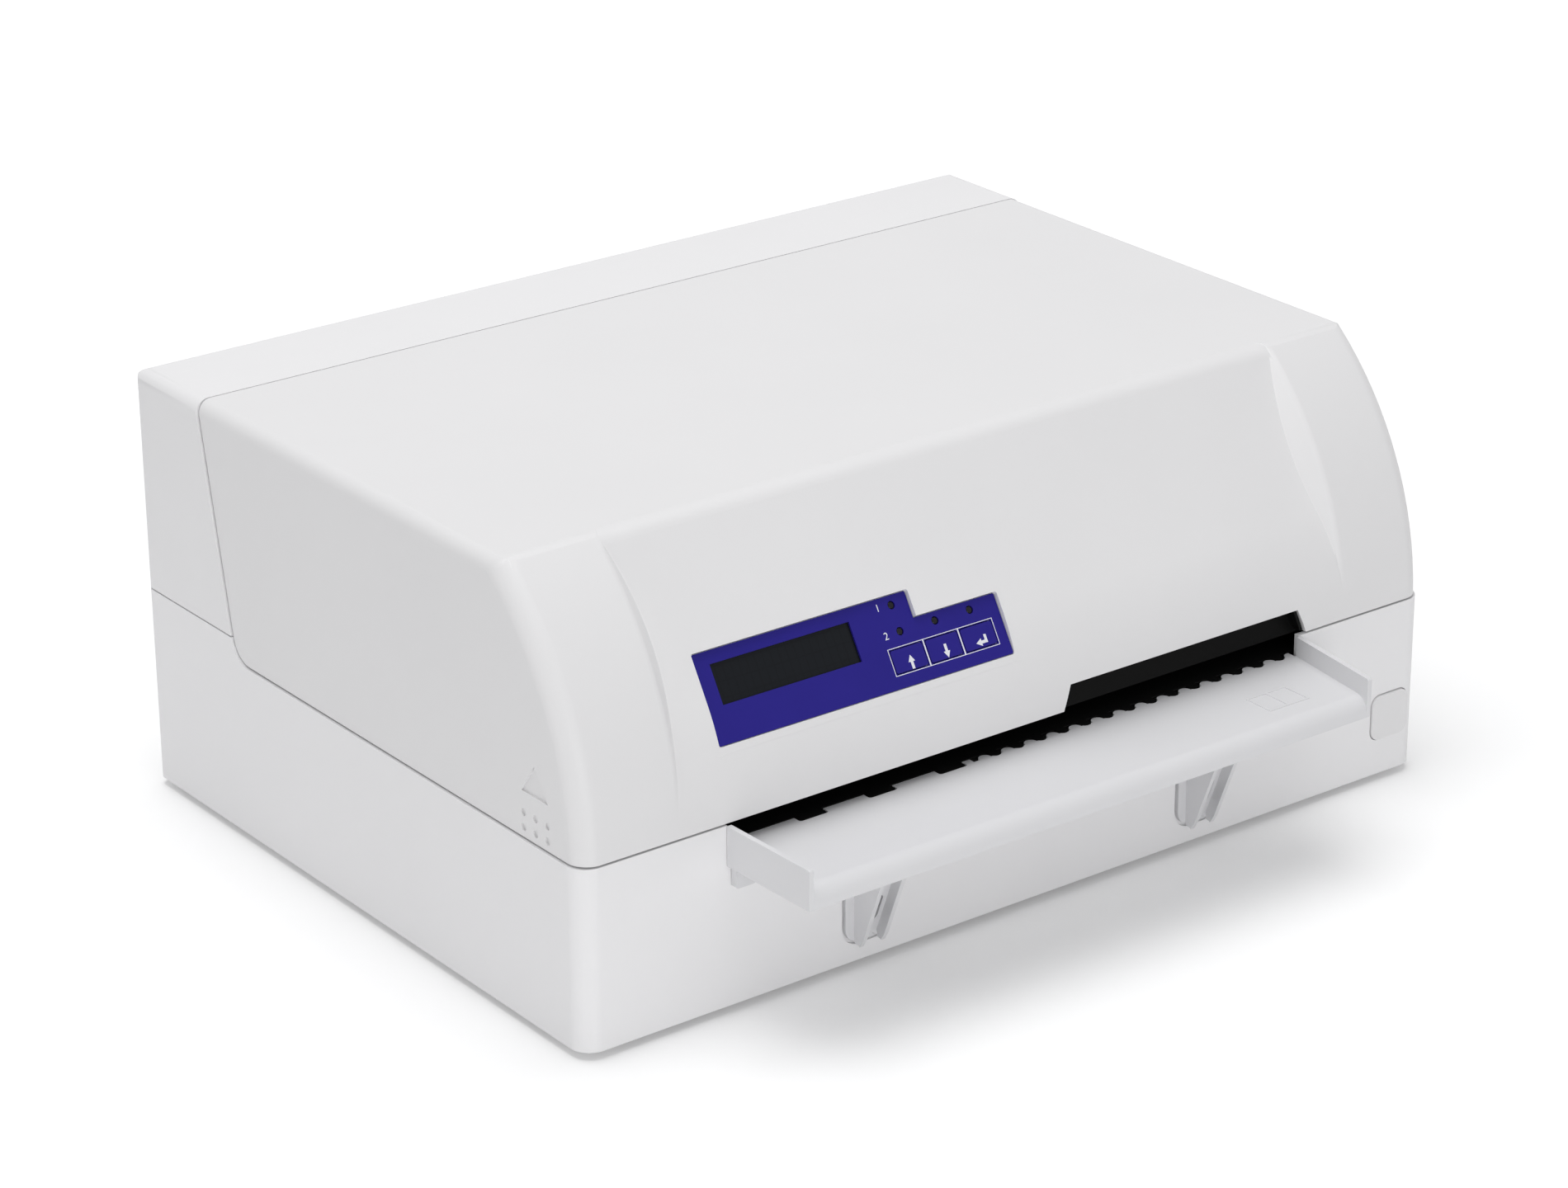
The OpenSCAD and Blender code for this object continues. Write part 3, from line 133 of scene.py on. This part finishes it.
class Finish(Nodes):
    def __init__(self, name, **constants):
        self.material = bpy.data.materials.new(name)
        super().__init__(self.material)
        self.spot = self.node("ShaderNodeTexCoord", out="Object")
        self.paint(**constants)

    def noise(self, size, detail=2.0, vector=None):
        """Cloudy pattern from 0 to 1 whose blotches are about size metres across."""
        return self.node("ShaderNodeTexNoise", inputs={
            "Vector": vector or self.spot, "Scale": 1 / size, "Detail": detail}, out="Fac")

    def stretched(self, x, y, z):
        """The place with each axis multiplied, for patterns that run along one axis."""
        return self.node("ShaderNodeMapping", inputs={"Vector": self.spot, "Scale": (x, y, z)})

    def blend(self, first, second, share):
        """Mixes two colours by a share from 0, all of the first, to 1, all of the second."""
        return self.node("ShaderNodeMix", {"data_type": "RGBA"}, {
            0: share, 6: first, 7: second}, out=2)

    def bump(self, height, depth):
        return self.node("ShaderNodeBump", inputs={
            "Distance": depth, "Height": height}, out="Normal")

    def paint(self, **inputs):
        """Feeds the shader's own sockets, named as in base_color=."""
        self.feed(self.tree.nodes["Principled BSDF"], {
            key.replace("_", " ").title().replace("Ior", "IOR"): value
            for key, value in inputs.items()})


FLOOR_SIZE = 12
NEAR_GLOW = 0.10
GLOW_PER_METRE = 0.33
floor_finish = Finish(
    "studio_floor", base_color=(0.93, 0.93, 0.93), roughness=0.9, emission_strength=1.0)
far = floor_finish.node(
    "ShaderNodeVectorMath", {"operation": "LENGTH"}, {0: floor_finish.spot}, out="Value")
floor_finish.paint(emission_color=floor_finish.blend(
    (0, 0, 0), (1, 1, 1), floor_finish.seen() * (NEAR_GLOW + GLOW_PER_METRE * far)))
bpy.ops.mesh.primitive_plane_add(size=FLOOR_SIZE, location=(0, 0, 0))
floor = bpy.context.object
floor.name = "studio_floor"
floor.data.materials.append(floor_finish.material)

world = bpy.data.worlds.new("white_room")
bpy.context.scene.world = world
room = Nodes(world)
room_light = room.node("ShaderNodeBackground", inputs={
    "Color": (0.98, 0.985, 1.0), "Strength": 0.38})
room_white = room.node("ShaderNodeBackground", inputs={"Color": (1, 1, 1), "Strength": 1.0})
room.feed(room.tree.nodes["World Output"], {
    "Surface": room.node("ShaderNodeMixShader", inputs={
        0: room.seen(), 1: room_light, 2: room_white})})

LAMP_AIM = Vector((0, 0, 0.08))
for name, place, size, power in [
        ("lamp_over", (-0.1, 0.15, 1.8), 1.5, 20.5),
        ("lamp_front", (-0.5, -1.95, 0.15), 0.8, 13.0),
        ("lamp_side", (-1.95, -0.3, 0.15), 0.8, 4.7)]:
    lamp = bpy.data.objects.new(name, bpy.data.lights.new(name, "AREA"))
    lamp.data.size = size
    lamp.data.energy = power
    lamp.location = place
    lamp.rotation_euler = (Vector(place) - LAMP_AIM).to_track_quat("Z", "Y").to_euler()
    bpy.context.scene.collection.objects.link(lamp)


# ---- Base ----
# A tray of white moulded plastic with a fine texture, in which everything is mounted. As on most
# parts here, its edges are rounded a little, as its mould or press leaves them.
def white_plastic(name, colour):
    """White moulding with fine pits, faintly clouded."""
    finish = Finish(name, ior=1.46)
    pits = finish.noise(0.0006, 3)
    cloud = finish.noise(0.07, 3)
    finish.paint(
        base_color=finish.blend(colour, [c * 0.965 for c in colour], cloud),
        roughness=0.42 + 0.10 * finish.noise(0.02) + 0.06 * pits,
        normal=finish.bump(pits, 0.00002))
    return finish


def only(piece):
    """Selects one object and nothing else."""
    bpy.ops.object.select_all(action="DESELECT")
    piece.select_set(True)
    bpy.context.view_layer.objects.active = piece


def mounted(piece, finish, body):
    """Gives a piece its finish and says which body carries it."""
    piece.data.materials.clear()
    piece.data.materials.append(finish.material)
    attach(piece, body)
    return piece


SHARP = math.radians(40)  # an edge past this angle is rounded
CURVED = math.radians(32)  # faces that meet below this angle are shaded as one curve


def rounded(piece, width, segments=2):
    """Rounds the sharp edges of a piece and smooths its curved faces."""
    only(piece)
    if width:
        edges = piece.modifiers.new("rounded_edges", "BEVEL")
        edges.width = width
        edges.segments = segments
        edges.limit_method = "ANGLE"
        edges.angle_limit = SHARP
        bpy.ops.object.modifier_apply(modifier=edges.name)
    bpy.ops.object.shade_smooth_by_angle(angle=CURVED)
    shading = piece.modifiers.new("flat_faces_stay_flat", "WEIGHTED_NORMAL")
    shading.keep_sharp = True
    bpy.ops.object.modifier_apply(modifier=shading.name)


BODY_OF = {node: body for body, nodes in frame["record"]["behaviour"]["bodies"].items()
           for node in nodes}
MERGE = 0.003 * MM  # points nearer to each other than this are one point
FLAT = math.radians(0.6)  # faces that meet below this angle are one face


def dressed(node, finish, rounding=0.0, segments=2, accents=()):
    """A merged copy of a CAD node, its edges rounded if asked, which stands for the node. An
    accent is a second finish, with a test of a face's place in drawing millimetres."""
    piece = bpy.data.objects.new(node + "_finished", frame["nodes"][node].data.copy())
    bpy.context.scene.collection.objects.link(piece)
    only(piece)
    bpy.ops.object.mode_set(mode="EDIT")
    bpy.ops.mesh.select_all(action="SELECT")
    bpy.ops.mesh.remove_doubles(threshold=MERGE)
    if rounding:
        bpy.ops.mesh.dissolve_limited(angle_limit=FLAT)
    bpy.ops.object.mode_set(mode="OBJECT")
    rounded(piece, rounding, segments)
    mounted(piece, finish, BODY_OF[node])
    for i, (accent, test) in enumerate(accents, start=1):
        piece.data.materials.append(accent.material)
        for face in piece.data.polygons:
            place = (face.center - at(0, 0, 0)) / MM
            if test(*place):
                face.material_index = i
    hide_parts(node)
    return piece


# the same white plastic as the hood, painted lighter here as painted light that the floor throws
# up on the base
base_white = white_plastic("base_plastic", (0.855, 0.850, 0.858))
dressed("base_case", base_white, rounding=0.00035)

# ---- Rear cover ----
# A shallow shell of white plastic over the back of the base. Two moulded tabs hang behind the
# base's back wall, and a screw through the wall holds each.
# the same white plastic as the hood, painted lighter here as painted light on the cover's sides
rear_white = white_plastic("rear_plastic", (0.828, 0.823, 0.830))
dressed("rear_cover", rear_white, rounding=0.0005, segments=3)

# ---- Hood ----
# One large white moulding with round shoulders, a leaning front and ribs under its roof. Its
# sides stand in a little from the base, so light catches the edge that runs round it.
hood_white = white_plastic("hood_plastic", (0.790, 0.785, 0.790))
dressed("top_hood", hood_white, rounding=0.0004)

# ---- Hood hinges ----
# Black moulded gooseneck arms under the hood's roof turn on pins. The pins sit in zinc-plated
# sheet brackets under the roof of the rear cover.
def black_plastic(name, level, gloss):
    """Black moulding with a fine grain. Its level is how pale it is."""
    finish = Finish(name, specular_ior_level=gloss)
    grain = finish.noise(0.0007, 3)
    finish.paint(
        base_color=finish.blend([level] * 3, [level * 0.7] * 3, finish.noise(0.03)),
        roughness=0.46 + 0.16 * grain,
        normal=finish.bump(grain, 0.00003))
    return finish


black = black_plastic("satin_black", 0.022, 0.35)

zinc = Finish("zinc_sheet", metallic=1.0)
rolled = zinc.noise(0.0009, 4, zinc.stretched(0.06, 1.0, 1.0))
zinc.paint(
    base_color=zinc.blend((0.52, 0.53, 0.55), (0.66, 0.66, 0.67), zinc.noise(0.012, 3)),
    roughness=0.30 + 0.22 * rolled,
    normal=zinc.bump(rolled, 0.00001))

for node in ("hinge_arm_left", "hinge_arm_right"):
    dressed(node, black, rounding=0.0003)
for node in ("hinge_bracket_left", "hinge_bracket_right"):
    dressed(node, zinc, rounding=0.0002)

# ---- Operator panel ----
# A blue film printed in white lies in a pocket of the hood's leaning front. Behind it are the
# smoked display window, four lamps and a board with three switches under the key fields.
LEAN = math.radians(31.6)
FILM = 0.8
# depths behind the leaning front: the film's pocket, its seat and the front of the board
POCKET = 2.4
SEAT = POCKET + 2.5
BOARD_FACE = SEAT + 8
film_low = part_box("panel_overlay")[0]
panel_origin = Vector((0, film_low.y - (POCKET - FILM) * MM * math.cos(LEAN),
                       film_low.z + POCKET * MM * math.sin(LEAN)))
panel_out = Vector((0, -math.cos(LEAN), math.sin(LEAN)))
PANEL = Matrix.Translation(panel_origin) @ Matrix.Rotation(math.pi / 2 - LEAN, 4, "X")


def depth_behind_panel(x, y, z):
    """How far in millimetres a place lies behind the plane of the leaning front."""
    return (panel_origin - at(x, y, z)).dot(panel_out) / MM


film = Finish("blue_film", specular_ior_level=0.16)
satin = film.noise(0.0004, 2)
film.paint(
    base_color=film.blend((0.020, 0.0135, 0.225), (0.016, 0.011, 0.195), film.noise(0.02)),
    roughness=0.38 + 0.12 * satin,
    normal=film.bump(satin, 0.000008))
for node in ("panel_overlay", "key_up", "key_down", "key_enter"):
    dressed(node, film, rounding=0.00012)

ink = Finish("white_print")
ink.paint(
    base_color=ink.blend((0.82, 0.83, 0.86), (0.72, 0.73, 0.78), ink.noise(0.0006)),
    roughness=0.45 + 0.1 * ink.noise(0.002))
PRINT = 0.06
SAME_SPOT = 0.01
KEY_RISE = 0.1
FILM_TOP = FILM - POCKET
KEY_TOP = FILM_TOP + KEY_RISE
FIRST_KEY = -46.0
KEY_W = 15.4
KEY_H = 9.8
KEY_ROW = 9.3


def printed(piece, name, body, level):
    """Gives an outline in panel millimetres the thickness of print and lays it on the film."""
    piece.name = name
    only(piece)
    bpy.ops.object.mode_set(mode="EDIT")
    bpy.ops.mesh.select_all(action="SELECT")
    bpy.ops.mesh.remove_doubles(threshold=SAME_SPOT)
    bpy.ops.mesh.normals_make_consistent(inside=False)
    bpy.ops.mesh.extrude_region_move(TRANSFORM_OT_translate={"value": (0, 0, PRINT)})
    bpy.ops.mesh.select_all(action="SELECT")
    bpy.ops.mesh.normals_make_consistent(inside=False)
    bpy.ops.object.mode_set(mode="OBJECT")
    piece.matrix_world = (PANEL @ Matrix.Scale(MM, 4) @ Matrix.Translation((0, 0, level))
                          @ piece.matrix_world)
    bpy.ops.object.transform_apply(location=True, rotation=True, scale=True)
    return mounted(piece, ink, body)


# frame round the key fields: three cells side by side, inset, with their middles taken out
LINE = 0.5
bpy.ops.mesh.primitive_grid_add(x_subdivisions=3, y_subdivisions=1, size=1,
                                location=(FIRST_KEY + KEY_W, KEY_ROW, 0))
key_frame = bpy.context.object
key_frame.scale = (3 * KEY_W, KEY_H, 1)
bpy.ops.object.transform_apply(location=False, rotation=False, scale=True)
bpy.ops.object.mode_set(mode="EDIT")
bpy.ops.mesh.select_all(action="SELECT")
bpy.ops.mesh.inset(thickness=LINE / 2, use_individual=True)
bpy.ops.mesh.delete(type="FACE")
bpy.ops.object.mode_set(mode="OBJECT")
printed(key_frame, "key_frame_print", "hood", FILM_TOP)


def bar(x, y, wide, high):
    """Flat bar of print, from its lower left corner, in panel millimetres."""
    bpy.ops.mesh.primitive_plane_add(size=1, location=(x + wide / 2, y + high / 2, 0))
    bpy.context.object.scale = (wide, high, 1)
    bpy.ops.object.transform_apply(location=True, rotation=True, scale=True)
    return bpy.context.object


HEAD_RADIUS = 1.6
HEAD_RISE = 0.9
ARROW_RIGHT = 0.5


def arrow(key, middle, turn, bars, name, body):
    """Block arrow on a key field: a triangle whose bars run back from its base."""
    bpy.ops.mesh.primitive_circle_add(
        vertices=3, radius=HEAD_RADIUS, fill_type="NGON", location=(0, HEAD_RISE, 0))
    head = bpy.context.object
    bpy.ops.object.transform_apply(location=True, rotation=True, scale=True)
    parts = [bar(*size) for size in bars]
    only(head)
    for part in parts:
        part.select_set(True)
    bpy.ops.object.join()
    head.matrix_world = (Matrix.Translation((FIRST_KEY + KEY_W * key + ARROW_RIGHT, middle, 0))
                         @ Matrix.Rotation(turn, 4, "Z"))
    return printed(head, name, body, KEY_TOP)


SHAFT = (-0.55, -2.5, 1.1, 2.61)
FOOT = (0.54, -2.49, 1.91, 1.08)
ARROW_ROW = 7.85
RETURN_ROW = 7.0
arrow(0, ARROW_ROW, 0, [SHAFT], "arrow_up_print", "key_up_pad")
arrow(1, ARROW_ROW, math.pi, [SHAFT], "arrow_down_print", "key_down_pad")
arrow(2, RETURN_ROW, math.pi / 2, [SHAFT, FOOT], "arrow_return_print", "key_enter_pad")

# plain numbers beside the two lamps at the left
DIGIT_SIZE = 3.8
for digit, x, y in (("1", -52.9, 27.6), ("2", -53.2, 17.5)):
    bpy.ops.object.text_add(location=(x, y, 0))
    bpy.context.object.data.body = digit
    bpy.context.object.data.size = DIGIT_SIZE
    bpy.ops.object.convert(target="MESH")
    printed(bpy.context.object, "lamp_number_" + digit, "hood", FILM_TOP)

# smoked window over the faint cells of the display
window = Finish("display_window", specular_ior_level=0.10)
cells = window.node("ShaderNodeTexBrick", {"offset": 0.0}, {
    "Vector": window.node("ShaderNodeMapping", inputs={
        "Vector": window.spot, "Rotation": (LEAN - math.pi / 2, 0, 0)}),
    "Scale": 1.0, "Brick Width": 3.3 * MM, "Row Height": 5.6 * MM, "Mortar Size": 0.3 * MM,
    "Mortar Smooth": 0.3}, out="Fac")
window.paint(
    base_color=window.blend((0.0072, 0.0086, 0.0112), (0.0062, 0.0074, 0.0096), cells),
    roughness=0.18 + 0.08 * window.noise(0.004))
dressed("lcd_glass", window, rounding=0.0002)

lens = Finish("lamp_lens", specular_ior_level=0.2)
lens.paint(
    base_color=lens.blend((0.010, 0.009, 0.013), (0.005, 0.005, 0.007), lens.noise(0.0012)),
    roughness=0.12 + 0.10 * lens.noise(0.001))
dressed("panel_leds", lens, rounding=0.0006, segments=3)

board = Finish("circuit_board")
tracks = board.node("ShaderNodeTexBrick", {"offset": 0.37}, {
    "Vector": board.spot, "Scale": 1.0, "Brick Width": 7.0 * MM, "Row Height": 1.4 * MM,
    "Mortar Size": 0.18 * MM}, out="Fac")
board.paint(
    base_color=board.blend((0.012, 0.105, 0.045), (0.030, 0.190, 0.085), tracks),
    roughness=0.32 + 0.1 * board.noise(0.003),
    normal=board.bump(tracks, 0.00004))
# the switches stand on the board, and the display has a small board of its own
MODULE_BOARD = 1.6
dressed("panel_board", board, accents=[
    (black, lambda x, y, z: depth_behind_panel(x, y, z) < BOARD_FACE - 0.1)])
dressed("lcd_module", zinc, accents=[
    (board, lambda x, y, z: depth_behind_panel(x, y, z) > BOARD_FACE - MODULE_BOARD - 0.05)])

# ---- Front table ----
# A tray of white plastic on two swept brackets carries the document to the slot. Near its right
# end a faint raised figure shows how a booklet lies.
# the same white plastic as the hood, painted darker here as painted shade that the hood casts on
# the table
table_white = white_plastic("table_plastic", (0.725, 0.724, 0.738))
for node in ("front_table", "table_bracket_left", "table_bracket_right"):
    dressed(node, table_white, rounding=0.0003)

TABLE_FLOOR = 60.5
PAGE_W = 9.5
PAGE_D = 13
PAGE_LINE = 0.7
PAGE_RISE = 0.25
SUNK = 0.02


def booklet_page(name, left, front):
    """Thin raised outline of a page on the table's floor, from its left front corner."""
    bpy.ops.mesh.primitive_plane_add(
        size=1, location=at(left + PAGE_W / 2, front + PAGE_D / 2, TABLE_FLOOR - SUNK))
    piece = bpy.context.object
    piece.name = name
    piece.scale = (PAGE_W * MM, PAGE_D * MM, 1)
    bpy.ops.object.transform_apply(location=True, rotation=True, scale=True)
    bpy.ops.object.mode_set(mode="EDIT")
    bpy.ops.mesh.select_all(action="SELECT")
    bpy.ops.mesh.inset(thickness=PAGE_LINE * MM)
    bpy.ops.mesh.delete(type="FACE")
    bpy.ops.mesh.select_all(action="SELECT")
    bpy.ops.mesh.extrude_region_move(TRANSFORM_OT_translate={"value": (0, 0, PAGE_RISE * MM)})
    bpy.ops.mesh.select_all(action="SELECT")
    bpy.ops.mesh.normals_make_consistent(inside=False)
    bpy.ops.object.mode_set(mode="OBJECT")
    return mounted(piece, table_white, "table")


BOOKLET_LEFT = 86
BOOKLET_FRONT = -31
booklet_page("booklet_figure_left", BOOKLET_LEFT, BOOKLET_FRONT)
booklet_page("booklet_figure_right", BOOKLET_LEFT + PAGE_W, BOOKLET_FRONT)

# ---- Power button ----
# A rounded square key of white plastic slides in the front wall of the base. Its stem works the
# mains switch behind it, a black block with two metal blades at its back.
SWITCH_BACK = 31
dressed("power_button", hood_white, rounding=0.0007, segments=3)
dressed("power_switch", black, rounding=0.0002, accents=[
    (zinc, lambda x, y, z: y > SWITCH_BACK + 0.2)])

# ---- Feet and screws ----
# Four round feet of black rubber are pressed into holes in the floor of the base. Two steel
# cross-head screws at the back hold the rear cover.
rubber = Finish("black_rubber")
dust = rubber.noise(0.0012, 4)
rubber.paint(
    base_color=rubber.blend((0.018, 0.018, 0.018), (0.034, 0.033, 0.032), dust),
    roughness=0.70 + 0.2 * dust,
    normal=rubber.bump(dust, 0.00004))
dressed("rubber_feet", rubber, rounding=0.0006)

ground = Finish("ground_steel", metallic=1.0)
lapped = ground.noise(0.0006, 3, ground.stretched(0.08, 1.0, 1.0))
ground.paint(
    base_color=ground.blend((0.60, 0.60, 0.61), (0.70, 0.70, 0.70), ground.noise(0.01)),
    roughness=0.14 + 0.16 * lapped,
    normal=ground.bump(lapped, 0.000004))
dressed("case_screws", ground, rounding=0.0002)

# ---- Paper guides ----
# Black moulded plates lead the document from the table to the print line and out at the back.
# The two that show in the slot are matt and painted a darker black than the others, as painted
# shade in the slot.
matt_black_painted_shade = black_plastic("matt_black_painted_shade", 0.006, 0.06)
for node in ("lower_guide", "upper_guide"):
    dressed(node, matt_black_painted_shade, rounding=0.0002)
dressed("rear_guide", black, rounding=0.0002)

# ---- Paper feed ----
# Rubber rollers on two ground shafts, pinch rollers above them, and a train of natural acetal
# gears driven by a stepping motor's steel pinion.
acetal = Finish("natural_gear", ior=1.48)
wax = acetal.noise(0.004, 3)
acetal.paint(
    base_color=acetal.blend((0.74, 0.71, 0.62), (0.69, 0.65, 0.55), wax),
    roughness=0.30 + 0.12 * wax,
    normal=acetal.bump(acetal.noise(0.0006), 0.000008))
ROLLERS = (-105, -35, 35, 105)
ROLLER_W = 28


def on_roller(x, y, z):
    """A face of one of the four rubber rollers, its ends too."""
    return any(abs(x - middle) < ROLLER_W / 2 + 0.1 for middle in ROLLERS)


for node in ("front_feed_shaft", "rear_feed_shaft", "motor_pinion"):
    dressed(node, ground, rounding=0.0002)
for node in ("front_feed_rollers", "rear_feed_rollers"):
    dressed(node, rubber, rounding=0.0004)
for node in ("front_pinch", "rear_pinch"):
    dressed(node, ground, rounding=0.0003, accents=[(rubber, on_roller)])
for node in ("front_feed_gear", "rear_feed_gear", "idler_gear"):
    dressed(node, acetal)

enamel = Finish("motor_paint")
orange_peel = enamel.noise(0.0009, 3)
enamel.paint(
    base_color=enamel.blend((0.030, 0.030, 0.034), (0.022, 0.022, 0.025), enamel.noise(0.01)),
    roughness=0.35 + 0.15 * orange_peel,
    normal=enamel.bump(orange_peel, 0.00002))
dressed("feed_motor", enamel, rounding=0.0008, segments=3)

# ---- Chassis ----
# Zinc-plated sheet, cut and bent: a floor pan, two side frames, the guide rail and the brackets of
# the carriage drive. A ground steel shaft and a hard rubber platen bar run between the frames.
for node in ("chassis_pan", "side_frame_left", "side_frame_right", "guide_rail", "motor_bracket",
             "idler_bracket"):
    dressed(node, zinc, rounding=0.0002)
dressed("carriage_shaft", ground, rounding=0.0005)
dressed("platen_bar", rubber, rounding=0.0004)

# ---- Print carriage ----
# A black moulded carriage slides on the shaft and the rail. It carries the wire head, a finned
# casting of light alloy on a black nose that guides the wires.
dressed("carriage", black, rounding=0.0005)
alloy = Finish("head_alloy", metallic=0.9)
cast = alloy.noise(0.0008, 4)
alloy.paint(
    base_color=alloy.blend((0.33, 0.34, 0.36), (0.45, 0.46, 0.48), alloy.noise(0.006)),
    roughness=0.38 + 0.2 * cast,
    normal=alloy.bump(cast, 0.00003))
NOSE_TOP = 72
dressed("print_head", alloy, rounding=0.0002, accents=[(black, lambda x, y, z: z < NOSE_TOP)])

# ---- Ribbon cassette ----
# A flat case of black plastic across the machine holds the ribbon, a strip of inked cloth that
# passes between its two legs. A white knob on the lid takes up the slack.
dressed("ribbon_cassette", black, rounding=0.0006, segments=3)
dressed("ribbon_knob", hood_white, rounding=0.0003)
ribbon = Finish("ink_ribbon", sheen_weight=0.2)
weave = ribbon.noise(0.0003, 2)
ribbon.paint(
    base_color=ribbon.blend((0.016, 0.016, 0.022), (0.010, 0.010, 0.013), weave),
    roughness=0.75 + 0.15 * weave,
    normal=ribbon.bump(weave, 0.00003))
dressed("ribbon_band", ribbon)

# ---- Carriage drive ----
# A rubber belt runs between a steel pulley on the motor's shaft at the left and an acetal idler
# pulley at the right.
dressed("carriage_belt", rubber, rounding=0.0002)
dressed("drive_pulley", ground, rounding=0.0002)
dressed("idler_pulley", acetal)
dressed("carriage_motor", enamel, rounding=0.0008, segments=3)

# ---- Electronics ----
# The main board, with its chips in black, and the power supply in a closed case of zinc-plated
# sheet fill the bay behind the mechanism.
BOARD_TOP = 11.6
dressed("main_board", board, accents=[(black, lambda x, y, z: z > BOARD_TOP + 0.05)])
dressed("power_supply", zinc, rounding=0.0004)

# ---- Sockets at the back ----
# Three interface sockets with plated shells stand on the main board and reach through a steel
# plate. Beside them the mains inlet, a black block with three pins, snaps into the back wall.
SOCKET_FLOOR = 272.9
dressed("rear_panel", zinc, rounding=0.0002)
dressed("data_ports", zinc, rounding=0.0003)


def block(name, low, high, finish, rounding):
    """Block with rounded edges between two corners in drawing millimetres."""
    low, high = at(*low), at(*high)
    bpy.ops.mesh.primitive_cube_add(size=1, location=(low + high) / 2)
    piece = bpy.context.object
    piece.name = name
    piece.scale = high - low
    bpy.ops.object.transform_apply(location=True, rotation=True, scale=True)
    rounded(piece, rounding)
    return mounted(piece, finish, "case")


def in_rows(piece, count, pitch):
    """Repeats a piece to the right."""
    only(piece)
    row = piece.modifiers.new("row", "ARRAY")
    row.count = count
    row.use_relative_offset = False
    row.use_constant_offset = True
    row.constant_offset_displace = (pitch * MM, 0, 0)
    bpy.ops.object.modifier_apply(modifier=row.name)


def pin(name, x, z, end, radius, vertices):
    """Pin or post that stands towards the back out of a socket's floor."""
    bpy.ops.mesh.primitive_cylinder_add(
        vertices=vertices, radius=radius * MM, depth=(end - SOCKET_FLOOR) * MM,
        location=at(x, (end + SOCKET_FLOOR) / 2, z), rotation=(math.pi / 2, 0, 0))
    piece = bpy.context.object
    piece.name = name
    bpy.ops.object.transform_apply(location=True, rotation=True, scale=True)
    rounded(piece, 0.00015)
    return mounted(piece, ground, "case")


CONTACT_W = 1.0
CONTACT_T = 0.3
LET_IN = 0.1
TIP = 0.5


def tongue(socket, x, z, wide, thick, end, rounding, count, pitch):
    """Black tongue out of a socket's floor, with a row of contacts let into each face. Its tip,
    which goes into the plug first, is bare."""
    block(socket + "_tongue", (x - wide / 2, SOCKET_FLOOR, z - thick / 2),
          (x + wide / 2, end, z + thick / 2), black, rounding)
    left = x - (count - 1) / 2 * pitch - CONTACT_W / 2
    for side, low in (("upper", z + thick / 2 - LET_IN),
                      ("lower", z - thick / 2 + LET_IN - CONTACT_T)):
        contact = block(socket + "_contacts_" + side, (left, SOCKET_FLOOR, low),
                        (left + CONTACT_W, end - TIP, low + CONTACT_T),
                        ground, rounding=0.00005)
        in_rows(contact, count, pitch)


# parallel socket: eighteen contacts on each face of its tongue
tongue("parallel", x=41, z=18.1, wide=44, thick=4.4, end=278.4, rounding=0.0004,
       count=18, pitch=2.16)

# serial socket: a shell with slanted ends round nine pins, between two hexagonal posts
SERIAL_X, SERIAL_Z = 103.5, 17.85
SHELL_W, SHELL_H, SHELL_D = 17, 8.4, 6.6
SHELL_NARROW = 0.82
SHELL_CORNER = 1.6
SHELL_WALL = 0.5
bpy.ops.mesh.primitive_plane_add(size=1, location=at(SERIAL_X, SOCKET_FLOOR, SERIAL_Z),
                                 rotation=(math.pi / 2, 0, 0))
serial_shell = bpy.context.object
serial_shell.name = "serial_shell"
serial_shell.scale = (SHELL_W * MM, SHELL_H * MM, 1)
bpy.ops.object.transform_apply(location=True, rotation=True, scale=True)
for corner in serial_shell.data.vertices:
    corner.select = corner.co.z < at(0, 0, SERIAL_Z).z
for edge in serial_shell.data.edges:
    edge.select = all(serial_shell.data.vertices[i].select for i in edge.vertices)
for face in serial_shell.data.polygons:
    face.select = False
bpy.ops.object.mode_set(mode="EDIT")
bpy.ops.transform.resize(value=(SHELL_NARROW, 1, 1))
bpy.ops.mesh.select_all(action="SELECT")
bpy.ops.mesh.bevel(offset=SHELL_CORNER * MM, segments=5, affect="VERTICES")
bpy.ops.mesh.select_all(action="SELECT")
bpy.ops.mesh.inset(thickness=SHELL_WALL * MM)
bpy.ops.mesh.delete(type="FACE")
bpy.ops.mesh.select_all(action="SELECT")
bpy.ops.mesh.extrude_region_move(TRANSFORM_OT_translate={"value": (0, SHELL_D * MM, 0)})
bpy.ops.mesh.select_all(action="SELECT")
bpy.ops.mesh.normals_make_consistent(inside=False)
bpy.ops.object.mode_set(mode="OBJECT")
rounded(serial_shell, 0.0001)
mounted(serial_shell, zinc, "case")
PIN_PITCH = 2.77
for side, count, rise in (("upper", 5, 1.4), ("lower", 4, -1.4)):
    first = pin("serial_pins_" + side, SERIAL_X - (count - 1) / 2 * PIN_PITCH, SERIAL_Z + rise,
                end=278.6, radius=0.5, vertices=12)
    in_rows(first, count, PIN_PITCH)
for side, aside in (("left", -12.5), ("right", 12.5)):
    pin("serial_post_" + side, SERIAL_X + aside, SERIAL_Z, end=279.4, radius=1.9, vertices=6)

# square socket: two contacts on each face of its tongue
tongue("square", x=140, z=17.1, wide=5.6, thick=3.4, end=278.2, rounding=0.0003,
       count=2, pitch=2.8)

# mains inlet: its three pins stand free in its hollow, all within a space of this size
INLET_X, INLET_Z = -140, 26
PINS_W, PINS_H = 18, 13
PINS_FROM, PINS_TO = 264.5, 279


def on_inlet_pin(x, y, z):
    return (abs(x - INLET_X) < PINS_W / 2 and abs(z - INLET_Z) < PINS_H / 2
            and PINS_FROM < y < PINS_TO)


dressed("power_inlet", black, rounding=0.0003, accents=[(ground, on_inlet_pin)])

bpy.ops.object.select_all(action="DESELECT")
